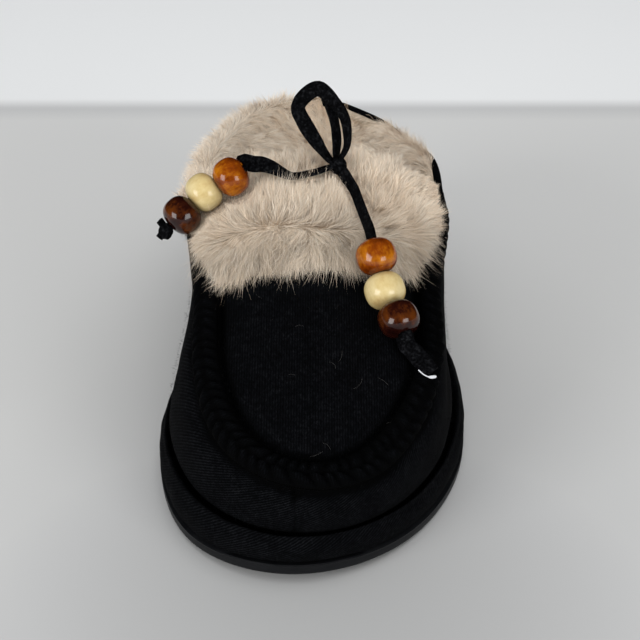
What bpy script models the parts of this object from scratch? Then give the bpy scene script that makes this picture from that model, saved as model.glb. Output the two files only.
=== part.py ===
"""A fur-lined moccasin slipper for the left foot, toe towards -Y, standing on its sole.

+X is the wearer's outer (little-toe) side and +Z is up. All sizes are in metres.
"""

import math

import bpy
import numpy as np
from mathutils import Vector
from mathutils.bvhtree import BVHTree

# ---- driving dimensions ---------------------------------------------------------------------

GAP = 0.0003               # clearance between pieces that touch
WALL = 0.0026              # felt of the upper
PILE = 0.0055              # depth of the fur lining
INSOLE = 0.0040            # thickness of the footbed
OUTSOLE = 0.0036           # thickness of the rubber
TOE_SPRING = 0.0030        # how far the tip of the sole lifts off the floor
SPRING_LENGTH = 0.045      # length of the toe that lifts
ARCH = 0.0012              # how far the rubber lifts under the waist
ARCH_SPAN = (-0.020, 0.044)  # where along Y the waist starts and ends
LUG_GROOVE = (0.0030, 0.0012)  # width and depth of the grooves between the sole's lugs
LUG_PITCH = 0.0105         # from one groove to the next
LUG_MARGIN = 0.0080        # plain rim of rubber round the lugs

# One row for each section round the shoe. x, y: the edge of the sole. ledge: how far inside it
# the upper stands. seat: the height of the sole's top there. lean: how far the wall's top edge
# stands inside its foot. top: the height of that edge. swell: how far the wall swells out.
COLUMNS = ("x", "y", "ledge", "seat", "lean", "top", "swell")
STATIONS = (
    (0.0010, 0.1240, 0.0050, 0.0200, 0.0040, 0.0620, 0.0030),  # back of the heel
    (0.0235, 0.1160, 0.0050, 0.0200, 0.0040, 0.0592, 0.0030),
    (0.0345, 0.0920, 0.0045, 0.0195, 0.0020, 0.0602, 0.0025),  # outer side of the heel
    (0.0365, 0.0560, 0.0045, 0.0175, -0.0050, 0.0650, 0.0010),
    (0.0420, 0.0180, 0.0045, 0.0150, -0.0050, 0.0720, 0.0000),  # outer waist
    (0.0482, -0.0140, 0.0045, 0.0135, 0.0015, 0.0640, -0.0010),
    (0.0492, -0.0460, 0.0045, 0.0130, 0.0075, 0.0540, 0.0000),  # outer ball
    (0.0435, -0.0770, 0.0035, 0.0125, 0.0050, 0.0430, 0.0015),
    (0.0250, -0.1095, 0.0030, 0.0130, 0.0060, 0.0290, 0.0015),
    (-0.0060, -0.1255, 0.0040, 0.0143, 0.0090, 0.0290, 0.0015),  # tip of the toe
    (-0.0355, -0.1100, 0.0050, 0.0145, 0.0095, 0.0335, 0.0015),
    (-0.0485, -0.0775, 0.0040, 0.0140, 0.0110, 0.0435, 0.0015),
    (-0.0505, -0.0490, 0.0040, 0.0135, 0.0110, 0.0540, 0.0005),  # inner ball
    (-0.0460, -0.0180, 0.0045, 0.0140, 0.0010, 0.0650, -0.0010),
    (-0.0390, 0.0140, 0.0045, 0.0155, -0.0070, 0.0720, 0.0000),  # inner waist
    (-0.0345, 0.0520, 0.0045, 0.0175, -0.0080, 0.0675, 0.0010),
    (-0.0335, 0.0900, 0.0045, 0.0195, 0.0000, 0.0640, 0.0025),  # inner side of the heel
    (-0.0220, 0.1150, 0.0050, 0.0200, 0.0040, 0.0625, 0.0030),
)
RING = 4 * len(STATIONS)   # points round the shoe, from the heel round the outer side and back
TOE = RING // 2            # the ring's point at the tip of the toe
VAMP_ROWS = 18             # ring points from the toe to the throat, on each side
WALL_ROWS = 10             # faces up the side wall
ACROSS = 14                # faces across the vamp, from seam to seam
CROWN_TOE = 0.0020         # how far the vamp arches above its seam, near the toe
CROWN_THROAT = 0.0095      # and at the throat
THROAT_BOW = -0.0070       # how far the middle of the throat stands behind its corners

SEAM_WIDTH = 0.0084        # the raised seam round the vamp
SEAM_HEIGHT = 0.0024
CUFF_FIRST = 12            # ring points from the toe to the cuff's lower edge
CUFF_CREST = 0.0085        # the cuff's greatest thickness, just behind its lower edge

LACE_DIAMETER = 0.0026     # the flat lace stands here as a round cord of its section's area
LACE_STEP = 0.0030         # from one point of a lace's curve to the next
KNOT_CENTRE = (0.0072, -0.0163, 0.0856)
KNOT_SIZE = (0.0054, 0.0048, 0.0052)
END_KNOT_CENTRE = (-0.0488, -0.0288, 0.0679)
END_KNOT_SIZE = (0.0046, 0.0050, 0.0056)
BEAD_DIAMETER = 0.0127
BEAD_BORE = 0.0054
BEAD_BARREL = 2.4          # power of a bead's outline: 2 is a spheroid, more is a barrel
STRAIGHT_RUN = 0.38        # the lace stays straight this share of a bead's length from its middle

# The beads in the order they are strung: name, centre, the direction the lace runs through it and
# the bead's length.
BEADS_LEFT = (
    ("amber", (-0.0276, -0.0209, 0.0836), (-0.835, -0.141, -0.531), 0.0099),
    ("cream", (-0.0366, -0.0212, 0.0783), (-0.789, -0.273, -0.551), 0.0099),
    ("brown", (-0.0435, -0.0264, 0.0725), (-0.726, -0.400, -0.559), 0.0099),
)
BEADS_RIGHT = (
    ("amber", (0.0188, -0.0523, 0.0700), (0.270, -0.601, -0.752), 0.0105),
    ("cream", (0.0214, -0.0579, 0.0610), (0.303, -0.696, -0.651), 0.0105),
    ("brown", (0.0254, -0.0675, 0.0560), (0.330, -0.777, -0.536), 0.0105),
)

# Points that the lace runs through. The bow's two loops leave the knot and come back to it.
LOOP_TALL = (
    (0.0047, -0.0159, 0.0877), (0.0036, -0.0157, 0.0887), (0.0014, -0.0150, 0.0910),
    (-0.0011, -0.0142, 0.0936),
    (-0.0047, -0.0121, 0.0994), (-0.0066, -0.0107, 0.1033), (-0.0055, -0.0091, 0.1076),
    (-0.0029, -0.0083, 0.1099), (-0.0003, -0.0080, 0.1106), (0.0026, -0.0086, 0.1090),
    (0.0058, -0.0097, 0.1060), (0.0082, -0.0107, 0.1033), (0.0099, -0.0117, 0.1004),
    (0.0107, -0.0130, 0.0967), (0.0107, -0.0144, 0.0931), (0.0100, -0.0154, 0.0902),
    (0.0092, -0.0158, 0.0885),
)
LOOP_LOW = (
    (0.0066, -0.0136, 0.0882), (0.0068, -0.0110, 0.0914), (0.0066, -0.0095, 0.0947),
    (0.0060, -0.0080, 0.0984), (0.0050, -0.0062, 0.1016), (0.0040, -0.0040, 0.1032),
    (0.0036, -0.0012, 0.1022), (0.0042, 0.0006, 0.0987), (0.0054, -0.0004, 0.0943),
    (0.0064, -0.0036, 0.0900), (0.0070, -0.0085, 0.0868), (0.0069, -0.0132, 0.0853),
)
LEAD_LEFT = (
    (0.0038, -0.0168, 0.0848), (0.0001, -0.0173, 0.0841), (-0.0030, -0.0176, 0.0839),
    (-0.0062, -0.0174, 0.0841), (-0.0096, -0.0161, 0.0847), (-0.0134, -0.0146, 0.0857),
    (-0.0177, -0.0133, 0.0868), (-0.0208, -0.0137, 0.0877), (-0.0222, -0.0164, 0.0880),
)
LEAD_RIGHT = (
    (0.0089, -0.0186, 0.0840), (0.0106, -0.0211, 0.0822), (0.0123, -0.0243, 0.0806),
    (0.0141, -0.0309, 0.0781), (0.0159, -0.0380, 0.0757), (0.0169, -0.0447, 0.0752),
)
END_LEFT = ((-0.0468, -0.0279, 0.0697),)
END_RIGHT = (
    (0.0286, -0.0726, 0.0506), (0.0302, -0.0740, 0.0490), (0.0317, -0.0762, 0.0480),
    (0.0332, -0.0788, 0.0468), (0.0347, -0.0812, 0.0457),
)


# ---- the last: the form that every piece follows ----------------------------------------------

def closed_spline(values, count):
    """A smooth closed curve through the values, read at even steps."""
    n = len(values)
    beside = np.roll(np.eye(n), 1, axis=0) + np.roll(np.eye(n), -1, axis=0)
    controls = np.linalg.solve((4 * np.eye(n) + beside) / 6, values)
    at = np.arange(count) * n / count
    whole = at.astype(int)
    f = at - whole
    weights = ((1 - f) ** 3, 3 * f**3 - 6 * f**2 + 4, -3 * f**3 + 3 * f**2 + 3 * f + 1, f**3)
    return sum(w * controls[(whole + k - 1) % n] for k, w in enumerate(weights)) / 6


def read_stations():
    """Each column at every point of the ring, and the direction into the shoe there."""
    table = np.array(STATIONS)
    ring = {name: closed_spline(table[:, i], RING) for i, name in enumerate(COLUMNS)}
    edge = np.stack([ring["x"], ring["y"]], axis=1)
    along = np.roll(edge, -1, axis=0) - np.roll(edge, 1, axis=0)
    along /= np.linalg.norm(along, axis=1)[:, None]
    ring["inward"] = np.stack([along[:, 1], -along[:, 0]], axis=1)
    return ring


def inset(ring, depth, height):
    """The sole's edge moved inwards by depth, at a height."""
    x, y = (ring["x"], ring["y"]) + depth * ring["inward"].T
    return np.stack([x, y, height + 0 * x], axis=1)


def lift(y):
    """How far the sole lifts off the floor at y: its toe spring and its arch."""
    start = min(row[1] for row in STATIONS) + SPRING_LENGTH
    toe = TOE_SPRING * (np.clip(start - y, 0, None) / SPRING_LENGTH) ** 2
    span = np.clip((y - ARCH_SPAN[0]) / (ARCH_SPAN[1] - ARCH_SPAN[0]), 0, 1)
    return toe + ARCH * np.sin(math.pi * span) ** 2


def wall_point(ring, share):
    """Points of the side wall at a share of the way along its profile, from its foot to its top."""
    rise = ring["top"] - ring["seat"]
    turn = 0.40 * ring["lean"] / (abs(ring["lean"]) + rise)
    depths = (0 * rise, -1.5 * ring["swell"], 0.4 * ring["lean"], ring["lean"])
    heights = (0 * rise, 0.38 * rise, (0.72 + turn) * rise, rise)
    u = share
    weights = ((1 - u) ** 3, 3 * u * (1 - u) ** 2, 3 * u**2 * (1 - u), u**3)
    depth = ring["ledge"] + sum(w * d for w, d in zip(weights, depths))
    height = ring["seat"] + GAP + sum(w * h for w, h in zip(weights, heights))
    return inset(ring, depth, height)


def vamp_row(top, k):
    """Points across the vamp between its seams, k ring points behind the toe."""
    outer, inner = top[TOE - k], top[TOE + k]
    way = k / VAMP_ROWS
    q = np.linspace(-1, 1, ACROSS + 1)[:, None]
    row = (outer + inner) / 2 + q * (inner - outer) / 2
    arch = 1 - q[:, 0] ** 2
    row[:, 2] += arch * (CROWN_TOE * min(1, 3 * way) + (CROWN_THROAT - CROWN_TOE) * way**2)
    row[:, 1] += arch * THROAT_BOW * way**3
    return row


def last_surface(ring):
    """The outside of the upper: points, faces and the point numbers of its wall and vamp rows."""
    shares = np.linspace(0, 1, WALL_ROWS + 1)
    heights = [wall_point(ring, share) for share in shares]
    points = list(np.concatenate(heights))
    wall = [[row * RING + i for i in range(RING)] for row in range(WALL_ROWS + 1)]
    faces = []
    for low, high in zip(wall, wall[1:]):
        for i in range(RING):
            after = (i + 1) % RING
            faces.append((low[after], low[i], high[i], high[after]))

    top = wall[-1]
    vamp = [[top[TOE]] * (ACROSS + 1)]
    for k in range(1, VAMP_ROWS + 1):
        middle = range(len(points), len(points) + ACROSS - 1)
        points += list(vamp_row(heights[-1], k)[1:-1])
        vamp.append([top[TOE - k], *middle, top[TOE + k]])
    for k, (front, back) in enumerate(zip(vamp, vamp[1:])):
        for j in range(ACROSS):
            corners = (front[j + 1], front[j], back[j], back[j + 1])
            faces.append(corners[1:] if k == 0 else corners)
    return np.array(points), faces, wall, vamp


def normals_of(points, faces):
    """The direction out of the surface at each point."""
    normals = np.zeros_like(points)
    for face in faces:
        a, b, c = points[face[0]], points[face[1]], points[face[-1]]
        normals[list(face)] += np.cross(b - a, c - a)
    return normals / np.linalg.norm(normals, axis=1)[:, None]


# ---- Blender helpers --------------------------------------------------------------------------

def clear_scene():
    for obj in list(bpy.data.objects):
        bpy.data.objects.remove(obj, do_unlink=True)


def collection(name):
    made = bpy.data.collections.new(name)
    bpy.context.scene.collection.children.link(made)
    return made


def material(name, colour, roughness, metallic=0.0):
    made = bpy.data.materials.new(name)
    made.use_nodes = True
    shader = made.node_tree.nodes["Principled BSDF"]
    shader.inputs["Base Color"].default_value = (*colour, 1)
    shader.inputs["Roughness"].default_value = roughness
    shader.inputs["Metallic"].default_value = metallic
    return made


def mesh_object(name, points, faces, finish, where):
    mesh = bpy.data.meshes.new(name)
    mesh.from_pydata([tuple(p) for p in points], [], faces)
    mesh.shade_smooth()
    mesh.materials.append(finish)
    obj = bpy.data.objects.new(name, mesh)
    where.objects.link(obj)
    return obj


def plate(name, rings, finish, where):
    """A solid through rings of points, from its underside to its top, each end closed across."""
    points = np.concatenate(rings)
    faces = []
    for row in range(len(rings) - 1):
        for i in range(RING):
            a, b = row * RING + i, row * RING + (i + 1) % RING
            faces.append((b, a, a + RING, b + RING))
    last = (len(rings) - 1) * RING
    for i in range(TOE):
        strip = list(dict.fromkeys((i, i + 1, RING - i - 1, (RING - i) % RING)))
        if len(strip) > 2:
            faces.append(tuple(strip))
            faces.append(tuple(last + p for p in reversed(strip)))
    return mesh_object(name, points, faces, finish, where)


def slab(name, under, over, finish, where):
    """A solid between two grids of points of the same shape; over lies on the outer side."""
    rows, columns = under.shape[:2]
    points = np.concatenate([under.reshape(-1, 3), over.reshape(-1, 3)])
    number = np.arange(rows * columns).reshape(rows, columns)
    shift = rows * columns
    faces = []
    for r in range(rows - 1):
        for c in range(columns - 1):
            quad = (number[r, c], number[r, c + 1], number[r + 1, c + 1], number[r + 1, c])
            faces.append(tuple(int(p) for p in quad))
            faces.append(tuple(int(p) + shift for p in reversed(quad)))
    rim = [*number[0, :-1], *number[:-1, -1], *number[-1, :0:-1], *number[:0:-1, 0]]
    for a, b in zip(rim, rim[1:] + rim[:1]):
        faces.append((int(b), int(a), int(a) + shift, int(b) + shift))
    return mesh_object(name, points, faces, finish, where)


# ---- the sole ---------------------------------------------------------------------------------

def make_outsole(ring, finish, where, cutters):
    """The rubber, with grooves across its forefoot and heel that leave the lugs between them."""
    foot = lift(ring["y"])
    rings = [
        inset(ring, 0.0010, foot),
        inset(ring, 0.0002, foot + 0.0008),
        inset(ring, 0.0000, foot + OUTSOLE),
    ]
    sole = plate("outsole", rings, finish, where)
    width, depth = LUG_GROOVE
    fronts = [-0.092 + LUG_PITCH * n for n in range(6)] + [0.056 + LUG_PITCH * n for n in range(6)]
    for n, y in enumerate(fronts):
        near = abs(ring["y"] - y) < 0.5 * LUG_PITCH
        low, high = ring["x"][near].min() + LUG_MARGIN, ring["x"][near].max() - LUG_MARGIN
        bpy.ops.mesh.primitive_cube_add(size=1, location=((low + high) / 2, y, depth - 0.005))
        cutter = bpy.context.object
        cutter.name = f"lug_cutter_{n}"
        cutter.scale = (high - low, width, 0.01)
        cutter.hide_render = True
        cutter.display_type = "WIRE"
        for holder in list(cutter.users_collection):
            holder.objects.unlink(cutter)
        cutters.objects.link(cutter)
        cut = sole.modifiers.new(cutter.name, "BOOLEAN")
        cut.operation = "DIFFERENCE"
        cut.object = cutter
    return sole


def make_midsole(ring, finish, where):
    """The felt-covered platform, whose rounded edge stands out past the upper."""
    foot = lift(ring["y"]) + OUTSOLE + GAP
    rise = ring["seat"] - foot
    side = ((0.0010, 0.0), (0.0001, 0.16), (0.0, 0.50), (0.0008, 0.85))  # depth, share of the rise
    ledge = ((0.30, 0.0010), (0.60, 0.0011), (0.90, 0.0))  # share of the ledge, height above the seat
    rings = [inset(ring, depth, foot + share * rise) for depth, share in side]
    rings += [inset(ring, share * ring["ledge"], ring["seat"] + height) for share, height in ledge]
    return plate("midsole_wrap", rings, finish, where)


def make_insole(ring, finish, where):
    depth = ring["ledge"] + WALL + 0.0010
    rings = [
        inset(ring, depth, ring["seat"] + GAP),
        inset(ring, depth, ring["seat"] + GAP + 0.8 * INSOLE),
        inset(ring, depth + 0.0010, ring["seat"] + GAP + INSOLE),
    ]
    return plate("insole", rings, finish, where)


# ---- the upper and what lies on it --------------------------------------------------------------

def make_upper(last, finish, where):
    points, faces, _, _ = last
    obj = mesh_object("upper", points, faces, finish, where)
    felt = obj.modifiers.new("felt", "SOLIDIFY")
    felt.thickness = WALL
    felt.offset = -1
    return obj


def make_lining(last, normals, finish, where):
    """Fur inside the quarters and the heel, from one corner of the throat round to the other."""
    points, _, wall, _ = last
    first, last_row = 3, WALL_ROWS
    round_heel = [i % RING for i in range(TOE + VAMP_ROWS, RING + TOE - VAMP_ROWS + 1)]
    grid = np.array([[wall[row][i] for i in round_heel] for row in range(first, last_row + 1)])
    at, out = points[grid], normals[grid]
    over = at - out * (WALL + GAP)
    under = at - out * (WALL + GAP + PILE)
    return slab("fur_lining", under, over, finish, where)


def seam_grid(last, ring, offsets):
    """Points of the upper's outside at distances from the seam, and the normals there.

    A negative distance lies down the wall and a positive one on the vamp.
    """
    points, faces, wall, _ = last
    tree = BVHTree.FromPolygons([tuple(p) for p in points], faces)
    down = [points[wall[row]] for row in (WALL_ROWS, WALL_ROWS - 1, WALL_ROWS - 2, WALL_ROWS - 3)]
    rows, normals = [], []
    for k in range(1 - VAMP_ROWS, VAMP_ROWS):
        line = np.array([level[TOE + k] for level in down])
        reach = np.concatenate([[0], np.cumsum(np.linalg.norm(np.diff(line, axis=0), axis=1))])
        way = abs(k) / VAMP_ROWS
        inward = (1 - way) * ring["inward"][TOE + k] + way * np.array((np.sign(k), 0))
        inward /= np.linalg.norm(inward)
        row, row_normals = [], []
        for d in offsets:
            if d > 0:
                x, y = line[0][:2] + d * inward
                hit, normal, _, _ = tree.ray_cast(Vector((x, y, 1)), Vector((0, 0, -1)))
            else:
                guess = Vector([np.interp(-d, reach, line[:, axis]) for axis in range(3)])
                hit, normal, _, _ = tree.find_nearest(guess)
            row.append(hit)
            row_normals.append(normal)
        rows.append(row)
        normals.append(row_normals)
    return np.array(rows), np.array(normals)


def make_apron_seam(last, ring, finish, where):
    """The raised, gathered seam where the side wall is stitched to the vamp."""
    shares = np.array((1.0, 0.72, 0.36, 0.0, -0.36, -0.72, -1.0))
    at, out = seam_grid(last, ring, shares * SEAM_WIDTH / 2)
    for _ in range(3):
        out[1:-1] = (out[:-2] + 2 * out[1:-1] + out[2:]) / 4
    out[:, 3] = out[:, 2] + out[:, 4]
    out /= np.linalg.norm(out, axis=2)[:, :, None]
    height = 0.0006 + SEAM_HEIGHT * np.sqrt(1 - 0.98 * shares**2)
    return slab("apron_seam", at + out * GAP, at + out * (GAP + height[None, :, None]), finish, where)


def make_cuff(last, normals, finish, where):
    """The thick fur flap folded over the throat onto the vamp and the tops of the walls."""
    points, _, _, vamp = last
    grid = np.array(vamp[CUFF_FIRST:])[:, 1:-1]
    at, out = points[grid], normals[grid]
    way = np.linspace(0, 1, len(grid))
    along = np.interp(way, (0, 0.17, 0.34, 0.84, 1), (0.40, 0.95, 1, 0.68, 0.42)) * CUFF_CREST
    side = np.sqrt(np.clip(1 - np.linspace(-1, 1, grid.shape[1]) ** 6, 0.10, 1))
    depth = along[:, None] * side[None, :]
    return slab("fur_cuff", at + out * GAP, at + out * (GAP + depth[:, :, None]), finish, where)


# ---- the lace and its beads ---------------------------------------------------------------------

def smooth(route, step):
    """A smooth curve through the route's points, read every step or so."""
    route = np.array(route)
    chord = np.sqrt(np.linalg.norm(np.diff(route, axis=0), axis=1))
    at = np.concatenate([[0], np.cumsum(chord)])
    slopes = np.gradient(route, at, axis=0)
    points = [route[0]]
    for i, width in enumerate(chord):
        a, b, start, end = route[i], route[i + 1], slopes[i] * width, slopes[i + 1] * width
        count = max(1, round(np.linalg.norm(b - a) / step))
        for u in np.arange(1, count + 1) / count:
            blend = (2 * u**3 - 3 * u**2 + 1, 3 * u**2 - 2 * u**3, u**3 - 2 * u**2 + u, u**3 - u**2)
            points.append(blend[0] * a + blend[1] * b + blend[2] * start + blend[3] * end)
    return points


def make_cord(name, route, finish, where):
    curve = bpy.data.curves.new(name, "CURVE")
    curve.dimensions = "3D"
    curve.bevel_depth = LACE_DIAMETER / 2
    curve.bevel_resolution = 2
    curve.use_fill_caps = True
    curve.materials.append(finish)
    points = smooth(route, LACE_STEP)
    spline = curve.splines.new("POLY")
    spline.points.add(len(points) - 1)
    for place, point in zip(spline.points, points):
        place.co = (*point, 1)
    where.objects.link(bpy.data.objects.new(name, curve))


def strung(lead, beads, end):
    """The route of a tail: its lead, straight through each bead, and its end."""
    route = list(lead)
    for _, centre, run, length in beads:
        half = STRAIGHT_RUN * length * np.array(run) / np.linalg.norm(run)
        route += [tuple(centre - half), centre, tuple(centre + half)]
    return route + list(end)


def make_knot(name, centre, size, finish, where):
    bpy.ops.mesh.primitive_uv_sphere_add(segments=14, ring_count=8, radius=0.5, location=centre)
    knot = bpy.context.object
    knot.name = name
    knot.scale = size
    knot.data.shade_smooth()
    knot.data.materials.append(finish)
    for holder in list(knot.users_collection):
        holder.objects.unlink(knot)
    where.objects.link(knot)


def make_bead(name, centre, run, length, finish, where):
    """A barrel turned about its bore, which lies along run."""
    power = 2 / BEAD_BARREL
    mouth = math.acos((BEAD_BORE / BEAD_DIAMETER) ** (1 / power))
    turns = np.linspace(mouth, -mouth, 10)
    across = BEAD_DIAMETER / 2 * np.cos(turns) ** power
    along = np.sign(turns) * abs(np.sin(turns) / math.sin(mouth)) ** power * length / 2
    outline = [(x, 0, z) for x, z in zip(across, along)]
    edges = [(i, (i + 1) % len(outline)) for i in range(len(outline))]
    mesh = bpy.data.meshes.new(name)
    mesh.from_pydata(outline, edges, [])
    mesh.materials.append(finish)
    bead = bpy.data.objects.new(name, mesh)
    bead.location = centre
    bead.rotation_euler = Vector(run).to_track_quat("Z", "Y").to_euler()
    where.objects.link(bead)
    lathe = bead.modifiers.new("lathe", "SCREW")
    lathe.axis = "Z"
    lathe.angle = 2 * math.pi
    lathe.steps = lathe.render_steps = 16
    lathe.use_merge_vertices = True
    lathe.merge_threshold = 0.00001


def make_lace(suede, woods, where):
    """The bow on the cuff, its two tails and the wooden beads strung on them."""
    make_knot("lace_knot", KNOT_CENTRE, KNOT_SIZE, suede, where)
    make_cord("lace_loop_tall", LOOP_TALL, suede, where)
    make_cord("lace_loop_low", LOOP_LOW, suede, where)
    for side, lead, beads, end in (
        ("left", LEAD_LEFT, BEADS_LEFT, END_LEFT),
        ("right", LEAD_RIGHT, BEADS_RIGHT, END_RIGHT),
    ):
        make_cord(f"lace_tail_{side}", strung(lead, beads, end), suede, where)
        for colour, centre, run, length in beads:
            make_bead(f"bead_{side}_{colour}", centre, run, length, woods[colour], where)
    make_knot("lace_end_knot", END_KNOT_CENTRE, END_KNOT_SIZE, suede, where)


def main():
    clear_scene()
    where = collection("fur slipper")
    cutters = collection("cutters")
    felt = material("black felt", (0.010, 0.010, 0.012), 0.95)
    rubber = material("black rubber", (0.02, 0.02, 0.022), 0.5)
    fur = material("cream fur", (0.75, 0.66, 0.55), 0.9)
    fleece = material("footbed fleece", (0.70, 0.60, 0.48), 0.95)
    suede = material("black suede lace", (0.016, 0.016, 0.018), 0.9)
    woods = {
        "amber": material("amber wood", (0.42, 0.15, 0.03), 0.2),
        "cream": material("cream wood", (0.72, 0.58, 0.38), 0.2),
        "brown": material("dark brown wood", (0.035, 0.014, 0.009), 0.15),
    }

    ring = read_stations()
    last = last_surface(ring)
    normals = normals_of(last[0], last[1])
    make_outsole(ring, rubber, where, cutters)
    make_midsole(ring, felt, where)
    make_insole(ring, fleece, where)
    make_upper(last, felt, where)
    make_lining(last, normals, fur, where)
    make_apron_seam(last, ring, felt, where)
    make_cuff(last, normals, fur, where)
    make_lace(suede, woods, where)


main()
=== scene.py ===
"""The looks of the fur slipper: felt, rubber, deep fur, a suede bow and varnished wooden beads.

Lengths are in metres. The slipper stands on z = 0 with its toe towards -Y. The form of the upper is
the CAD's, worked out again here at a finer step. The beads and knots lie where the CAD's do, and the
lace's routes stay within 2 mm of the CAD's.
"""

import math

import bmesh
import bpy
import numpy as np
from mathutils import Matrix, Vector, noise
from mathutils.bvhtree import BVHTree


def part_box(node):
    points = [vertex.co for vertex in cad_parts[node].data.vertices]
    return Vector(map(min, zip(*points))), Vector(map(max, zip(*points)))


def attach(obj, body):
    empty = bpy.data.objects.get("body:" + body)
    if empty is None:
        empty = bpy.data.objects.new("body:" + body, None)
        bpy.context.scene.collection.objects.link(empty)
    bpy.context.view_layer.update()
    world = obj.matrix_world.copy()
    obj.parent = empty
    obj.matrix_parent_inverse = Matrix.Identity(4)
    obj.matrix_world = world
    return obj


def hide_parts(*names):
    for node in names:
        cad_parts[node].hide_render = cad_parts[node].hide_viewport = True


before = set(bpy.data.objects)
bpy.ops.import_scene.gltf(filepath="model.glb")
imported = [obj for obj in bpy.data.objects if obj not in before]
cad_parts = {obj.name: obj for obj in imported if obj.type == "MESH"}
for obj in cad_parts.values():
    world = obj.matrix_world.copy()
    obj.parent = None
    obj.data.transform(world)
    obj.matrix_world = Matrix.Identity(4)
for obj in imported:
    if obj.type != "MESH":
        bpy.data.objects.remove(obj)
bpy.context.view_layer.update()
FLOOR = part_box("outsole")[0][2]

# ---- dimensions ---------------------------------------------------------------------------------

GAP = 0.0003
WALL = 0.0026
OUTSOLE = 0.0036
TOE_SPRING = 0.0030
SPRING_LENGTH = 0.045
ARCH = 0.0012
ARCH_SPAN = (-0.020, 0.044)
LUG_GROOVE = (0.0030, 0.0012)
LUG_PITCH = 0.0105
LUG_MARGIN = 0.0080

# One row for each section round the shoe: the edge of the sole, the ledge outside the upper, the
# height of the sole's top, and the wall's lean, top edge and swell.
COLUMNS = ("x", "y", "ledge", "seat", "lean", "top", "swell")
STATIONS = (
    (0.0010, 0.1240, 0.0050, 0.0200, 0.0040, 0.0620, 0.0030),  # back of the heel
    (0.0235, 0.1160, 0.0050, 0.0200, 0.0040, 0.0592, 0.0030),
    (0.0345, 0.0920, 0.0045, 0.0195, 0.0020, 0.0602, 0.0025),  # outer side of the heel
    (0.0365, 0.0560, 0.0045, 0.0175, -0.0050, 0.0650, 0.0010),
    (0.0420, 0.0180, 0.0045, 0.0150, -0.0050, 0.0720, 0.0000),  # outer waist
    (0.0482, -0.0140, 0.0045, 0.0135, 0.0015, 0.0640, -0.0010),
    (0.0492, -0.0460, 0.0045, 0.0130, 0.0075, 0.0540, 0.0000),  # outer ball
    (0.0435, -0.0770, 0.0035, 0.0125, 0.0050, 0.0430, 0.0015),
    (0.0250, -0.1095, 0.0030, 0.0130, 0.0060, 0.0290, 0.0015),
    (-0.0060, -0.1255, 0.0040, 0.0143, 0.0090, 0.0290, 0.0015),  # tip of the toe
    (-0.0355, -0.1100, 0.0050, 0.0145, 0.0095, 0.0335, 0.0015),
    (-0.0485, -0.0775, 0.0040, 0.0140, 0.0110, 0.0435, 0.0015),
    (-0.0505, -0.0490, 0.0040, 0.0135, 0.0110, 0.0540, 0.0005),  # inner ball
    (-0.0460, -0.0180, 0.0045, 0.0140, 0.0010, 0.0650, -0.0010),
    (-0.0390, 0.0140, 0.0045, 0.0155, -0.0070, 0.0720, 0.0000),  # inner waist
    (-0.0345, 0.0520, 0.0045, 0.0175, -0.0080, 0.0675, 0.0010),
    (-0.0335, 0.0900, 0.0045, 0.0195, 0.0000, 0.0640, 0.0025),  # inner side of the heel
    (-0.0220, 0.1150, 0.0050, 0.0200, 0.0040, 0.0625, 0.0030),
)
RING = 4 * len(STATIONS)   # steps round the shoe, from the heel round the outer side and back
TOE = RING // 2            # the step at the tip of the toe
VAMP_ROWS = 18             # steps from the toe to the throat, on each side
CROWN_TOE = 0.0020
CROWN_THROAT = 0.0095
THROAT_BOW = -0.0070
SEAM_WIDTH = 0.0084
SEAM_HEIGHT = 0.0024
SEAM_REACH = 17.8          # steps from the toe to where the fur hides the seam
CUFF_FIRST = 12            # steps from the toe to the row where the cuff can start

KNOT_CENTRE = (0.0072, -0.0163, 0.0856)
KNOT_SIZE = (0.0056, 0.0050, 0.0056)
END_KNOT_CENTRE = (-0.0488, -0.0288, 0.0679)
END_KNOT_SIZE = (0.0046, 0.0050, 0.0056)
BEAD_DIAMETER = 0.0127
BEAD_BORE = 0.0054
BEAD_BARREL = 2.4          # how full a bead's barrel shape is
BEAD_FULL = (1.01, 1.04)   # the varnished bead against the CAD's, in diameter and in length
STRAIGHT_RUN = 0.38        # share of a bead's length, each way, that the lace runs straight in it
LACE_WIDTH = 0.0042
LACE_THICKNESS = 0.0012
# Each bead's colour, centre, direction of its bore, and length.
BEADS_LEFT = (
    ("amber", (-0.0276, -0.0209, 0.0836), (-0.835, -0.141, -0.531), 0.0099),
    ("cream", (-0.0366, -0.0212, 0.0783), (-0.789, -0.273, -0.551), 0.0099),
    ("brown", (-0.0435, -0.0264, 0.0725), (-0.726, -0.400, -0.559), 0.0099),
)
BEADS_RIGHT = (
    ("amber", (0.0188, -0.0523, 0.0700), (0.270, -0.601, -0.752), 0.0105),
    ("cream", (0.0214, -0.0579, 0.0610), (0.303, -0.696, -0.651), 0.0105),
    ("brown", (0.0254, -0.0675, 0.0560), (0.330, -0.777, -0.536), 0.0105),
)

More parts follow.
